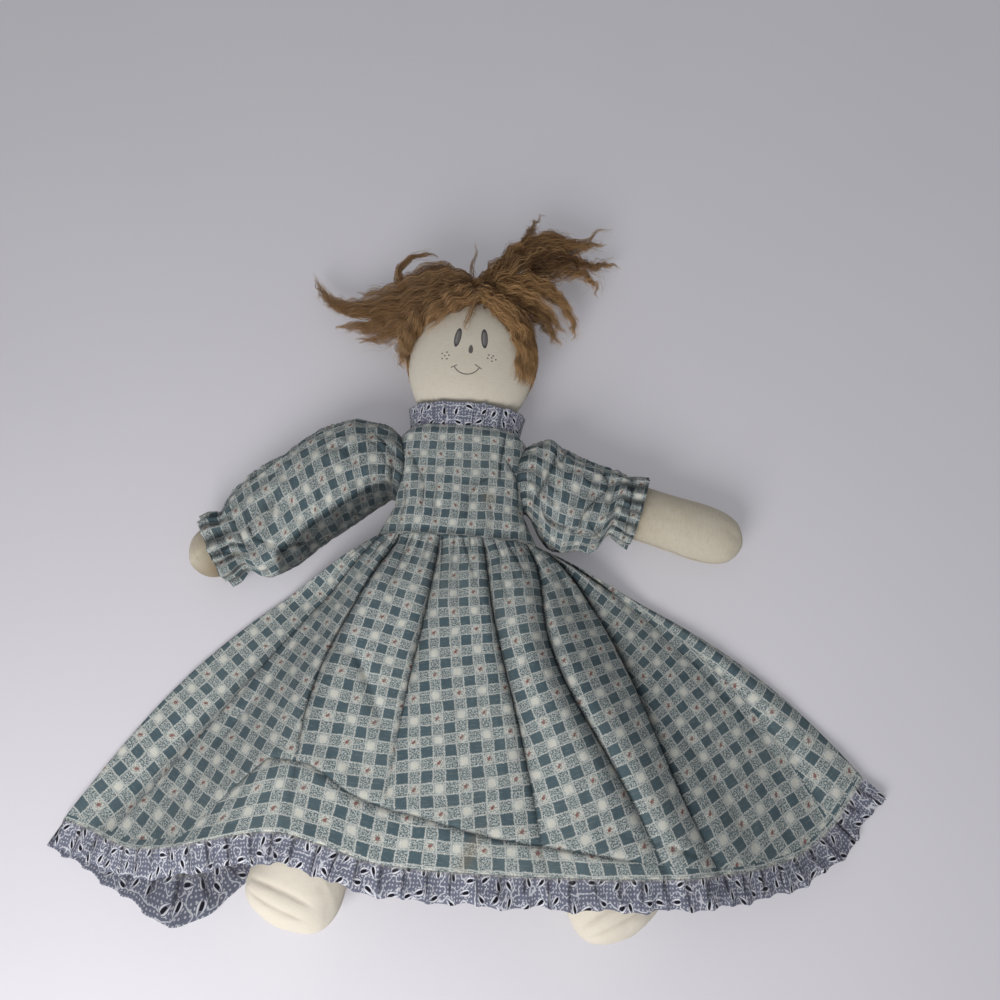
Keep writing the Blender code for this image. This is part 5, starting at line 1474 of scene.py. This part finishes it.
def lock_strands(route, strands, clumps, random):
    """Strands of one lock: clumps wander about its route, wave as they go, and draw together at their tips.

    A strand's place beside the route is the sum of its clump's place and wave, its own place, which closes in
    with the run's power of 1.3, its crimp as a finer sine, and a drift that grows with the run's power of 1.5.
    """
    line = spline(np.array(route, float), ROUTE_POINTS, True)
    middle, radius = line[:, :3] * MM, np.maximum(line[:, 3:], 0.2) * MM
    length = runs(middle, 0)[-1]
    of = random.integers(0, clumps, strands)

    def clump(low, high):
        """A random value for each clump, which its strands share."""
        return random.uniform(low, high, clumps)[of][:, None]

    def strand(low, high):
        """A random value for each strand."""
        return random.uniform(low, high, strands)[:, None]

    ends = clump(0.72, 1.0) * strand(0.86, 1.0)
    ends = np.where(random.random(strands)[:, None] < 0.25, ends * strand(0.45, 0.9), ends)
    s = np.linspace(0.0, 1.0, STRAND_POINTS)[None, :] * ends
    at = s * (ROUTE_POINTS - 1.0)
    low = np.minimum(at.astype(int), ROUTE_POINTS - 2)
    part = (at - low)[..., None]
    centre, out, side_at, up_at = (
        values[low] * (1.0 - part) + values[low + 1] * part for values in (middle, radius, *frames(middle))
    )
    out = out[..., 0]
    clump_far = np.sqrt(random.random(clumps))[of][:, None] * 0.82
    clump_turn = clump(0.0, math.tau) + 1.1 * s * clump(-1, 1)
    wave_length = clump(0.012, 0.020)
    thin = np.clip(radius.max() / (6.0 * MM), 0.18, 1.0)
    wave_size = clump(0.9, 2.5) * MM * smooth(s * length / 0.012) * thin
    wave_start = clump(0.0, math.tau)
    wave_turn = clump(0.0, math.tau)
    wave = wave_size * np.sin(math.tau * s * length / wave_length + wave_start)
    wave_too = 0.6 * wave_size * np.cos(math.tau * s * length / wave_length + wave_start)
    own_far = np.sqrt(random.random(strands))[:, None]
    own_turn = strand(0.0, math.tau)
    own = own_far * out / math.sqrt(clumps) * 2.2 * (1.0 - 0.55 * (s / ends) ** 1.3)
    crimp = strand(0.2, 1.15) * MM * (0.35 + 0.65 * thin)
    crimp = crimp * np.sin(math.tau * s * length / strand(0.006, 0.013) + strand(0, 6.28))
    wild = random.random(strands)[:, None] < 0.17
    stray = np.where(wild, strand(2.5, 11.0), strand(0.0, 1.2)) * (0.3 + 0.7 * thin) * MM * s**1.5
    stray_turn = strand(0.0, math.tau) + 2.4 * s * strand(-1.0, 1.0)
    a = clump_far * out * np.cos(clump_turn) + wave * np.cos(wave_turn) - wave_too * np.sin(wave_turn)
    b = clump_far * out * np.sin(clump_turn) + wave * np.sin(wave_turn) + wave_too * np.cos(wave_turn)
    a = a + own * np.cos(own_turn) + crimp + stray * np.cos(stray_turn)
    b = b + own * np.sin(own_turn) + crimp * 0.5 + stray * np.sin(stray_turn)
    points = centre + a[..., None] * side_at + b[..., None] * up_at
    points = off_head(points, (0.5 + 1.6 * random.random(strands))[:, None, None] * MM)
    points[..., 2] = np.maximum(points[..., 2], 0.4 * MM + 0.6 * MM * random.random(strands)[:, None])
    shade = np.clip(random.normal(0.46, 0.20, clumps)[of] + random.normal(0.0, 0.26, strands), 0.0, 1.0)
    return points, shade


def cap_strands(strands, random):
    """Hair combed from the centre part over the head and into the bunch at each side, as arcs on the ellipsoid.

    An arc goes evenly from its root's direction to its target's and sways sideways by a sine.
    """
    turn = np.radians(random.uniform(38.0, 236.0, strands))
    sign = np.where(random.random(strands) < 0.5, -1.0, 1.0)
    root = np.stack([0.03 * sign, np.sin(turn), np.cos(turn)], -1)
    to_right = sign[:, None] < 0.0
    bunch = np.where(to_right, unit(np.array((-0.86, 0.48, 0.25))), unit(np.array((0.62, 0.75, 0.28))))
    target = bunch + random.normal(0.0, 0.11, (strands, 3))
    drops = (np.cos(turn) < -0.2) & (random.random(strands) < 0.4)
    low = np.where(to_right, (-0.9, 0.1, 0.0), (0.9, 0.1, 0.0)) + random.normal(0, 0.15, (strands, 3))
    target = np.where(drops[:, None], low, target)
    s = np.linspace(0.0, 1.0, STRAND_POINTS)[None, :, None]
    way = unit(root[:, None] * (1.0 - s) + unit(target)[:, None] * s)
    swirl = np.cross(way, unit(np.gradient(way, axis=1)))
    pace = random.uniform(18.0, 30.0, strands)[:, None, None]
    start = random.uniform(0, 6.28, strands)[:, None, None]
    way = unit(way + swirl * 0.022 * np.sin(s * pace + start) * smooth(s * 5.0))
    layer = (random.uniform(1.6, 3.4, strands)[:, None, None] + 0.5 * np.sin(s * 26.0)) * MM
    points = HEAD_MIDDLE + way * (HEAD_HALF + layer)
    points[..., 2] = np.maximum(points[..., 2], 0.4 * MM)
    return points, np.clip(random.normal(0.42, 0.22, strands), 0.0, 1.0)


def strand_mesh(name, points, shade, width, random):
    """Three-sided tapering tubes along strands of points, closed at both ends."""
    strands, steps, _ = points.shape
    ahead = unit(np.gradient(points, axis=1))
    side = unit(np.cross(ahead, np.array((0.17, -0.29, 1.0))))
    up = np.cross(ahead, side)
    s = np.linspace(0.0, 1.0, steps)
    thickness = width * random.uniform(0.7, 1.25, strands)[:, None] * (1.0 - 0.75 * s**1.5)
    turn = full_turn(3)[0][:, None]
    ring = (np.cos(turn) * side[:, :, None] + np.sin(turn) * up[:, :, None]) * thickness[..., None, None]
    strand, step, k = np.meshgrid(np.arange(strands), np.arange(steps - 1), np.arange(3), indexing="ij")
    low = (strand * steps + step) * 3
    after = (k + 1) % 3
    quads = np.stack([low + k, low + after, low + 3 + after, low + 3 + k], -1).reshape(-1, 4)
    first = np.arange(strands)[:, None] * steps * 3
    caps = np.concatenate([first + np.array((2, 1, 0)), first + (steps - 1) * 3 + np.array((0, 1, 2))])
    here = np.stack([s[step], s[step], s[step + 1], s[step + 1]], -1)
    corners = np.stack([np.broadcast_to(shade[:, None, None, None], here.shape), here], -1).reshape(-1, 2)
    ends = np.column_stack([np.tile(shade, 2), np.repeat((0.0, 1.0), strands)])
    return make(name, points[:, :, None] + ring, [quads, caps], np.concatenate([corners, np.repeat(ends, 3, axis=0)]),
                MOHAIR)


def hair():
    """Each lock as one piece of strands, by the node that it replaces, and the combed hair of the crown."""
    made = []
    for node, locks in LOCKS.items():
        random = np.random.default_rng(sum(map(ord, node)))
        gathered = [lock_strands(route, strands, clumps, random) for route, strands, clumps in locks]
        points, shade = (np.concatenate(part) for part in zip(*gathered))
        made.append((strand_mesh(node.replace("_lock", "_mohair"), points, shade, LOCK_STRAND, random), node))
    random = np.random.default_rng(90)
    made.append((strand_mesh("crown_mohair", *cap_strands(CROWN_STRANDS, random), CROWN_STRAND, random), "hair_base"))
    return made


# ---------------------------------------------------------------- assembly


def dress(piece, slot, flat, held, rests_on, *nodes):
    """A piece of cloth replaces its nodes, which are hidden; the slot is not used."""
    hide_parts(*nodes)


front_cloth, front_points = skirt_front()
back_cloth, back_points = skirt_back()
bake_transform(front_cloth)
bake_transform(back_cloth)
dress(front_cloth, "check_cotton", (0.56, 0.205), "gathered", ("right_leg_muslin", "left_leg_muslin"), "skirt_front")
dress(back_cloth, "check_cotton", (0.50, 0.205), "gathered", ("torso_muslin",), "skirt_back")

front_ruffle = hem_ruffle("front_hem_ruffle", front_points[-1], 0.0172, 42, 3.2 * MM, 3.0 * MM, 8)
# The back ruffle lies beneath the front one: 0.36 of even painted shade
back_ruffle = hem_ruffle("back_hem_ruffle", back_points[-1], 0.0205, 38, 0.8 * MM, 0.0, 9, 0.45, 0.36)
for piece, skirt in ((front_ruffle, "front"), (back_ruffle, "back")):
    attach(piece, "root")
    dress(piece, "paisley_cotton", (0.74, 0.0205), "gathered", ("skirt_" + skirt + "_cloth",), "hem_ruffle_" + skirt)

for half in ("front", "back"):
    piece = bodice("bodice_" + half + "_cloth", half == "front")
    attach(piece, "torso")
    dress(piece, "check_cotton", (0.125, 0.085), "stretched", ("torso_muslin",), "bodice_" + half)

collar = neck_ruffle()
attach(collar, "torso")
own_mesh(collar)
dress(collar, "paisley_cotton", (0.295, 0.019), "gathered", ("torso_muslin",), "neck_ruffle")

for side, flat in (("right", (0.19, 0.145)), ("left", (0.17, 0.10))):
    piece = sleeve(side)
    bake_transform(piece)
    dress(piece, "check_cotton", flat, "gathered", (side + "_arm_muslin",), side + "_sleeve", side + "_cuff_elastic")

for piece, part, fill in (
    (torso(), "torso", 0.85), (head(), "head", 0.9), (arm("right"), "right_arm", 0.8), (arm("left"), "left_arm", 0.8),
    (leg("right"), "right_leg", 0.85), (leg("left"), "left_leg", 0.85),
):
    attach(piece, part)
    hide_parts(part + "_skin", part + "_filling")

for piece, node in (*hair(), (hair_mat(), "hair_base")):
    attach(piece, "head")
    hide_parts(node)

# ---------------------------------------------------------------- floor, light and camera


def floor():
    """A pale sheet under the doll. It shines a little toward the camera, gloss and glass alone."""
    half = 3.0
    mesh = bpy.data.meshes.new("floor")
    mesh.from_pydata([(-half, -half, 0), (half, -half, 0), (half, half, 0), (-half, half, 0)], [], [(0, 1, 2, 3)])
    finish = Finish("floor_paper", 0.9, specular=0.1)
    x, y, _ = finish.place()
    soft = finish.noise(finish.join(x, y), 6.0, 2.0)
    finish.done(finish.mix(srgb(212, 210, 217), srgb(217, 215, 221), soft))
    rays = ("Is Camera Ray", "Is Glossy Ray", "Is Transmission Ray")
    seen = functools.reduce(Field.most, [finish.node("ShaderNodeLightPath", ray) for ray in rays])
    put(finish.tree, finish.shader.inputs["Emission Color"], srgb(230, 229, 235))
    put(finish.tree, finish.shader.inputs["Emission Strength"], seen * 0.15)
    mesh.materials.append(finish.made)
    thing = bpy.data.objects.new("floor", mesh)
    bpy.context.scene.collection.objects.link(thing)


def lamp(name, place, aim, size, power, colour):
    """A round soft lamp at a place, turned toward its aim."""
    light = bpy.data.lights.new(name, "AREA")
    light.shape = "DISK"
    light.size = size
    light.energy = power
    light.color = colour
    thing = bpy.data.objects.new(name, light)
    thing.location = place
    thing.visible_camera = False
    way = np.array(aim) - np.array(place)
    thing.rotation_euler = (0.0, math.acos(-way[2] / np.linalg.norm(way)), math.atan2(-way[1], -way[0]))
    bpy.context.scene.collection.objects.link(thing)


floor()
lamp("window", (-0.22, -0.60, 0.51), (0.0, -0.06, 0.0), 0.50, 4.1, (1.0, 0.99, 0.97))
world = bpy.data.worlds.new("room")
world.use_nodes = True
world.node_tree.nodes["Background"].inputs[0].default_value = (0.97, 0.98, 1.0, 1.0)
world.node_tree.nodes["Background"].inputs[1].default_value = 0.32
bpy.context.scene.world = world
bpy.context.scene.view_settings.view_transform = "Standard"

camera = bpy.data.objects.new("camera", bpy.data.cameras.new("camera"))
camera.data.lens = 26.0
camera.data.sensor_width = 36.0
camera.location = (0.0404, -0.1059, 0.53)
camera.rotation_euler = (math.radians(18.0), 0.0, math.radians(4.5))
bpy.context.scene.collection.objects.link(camera)
bpy.context.scene.camera = camera
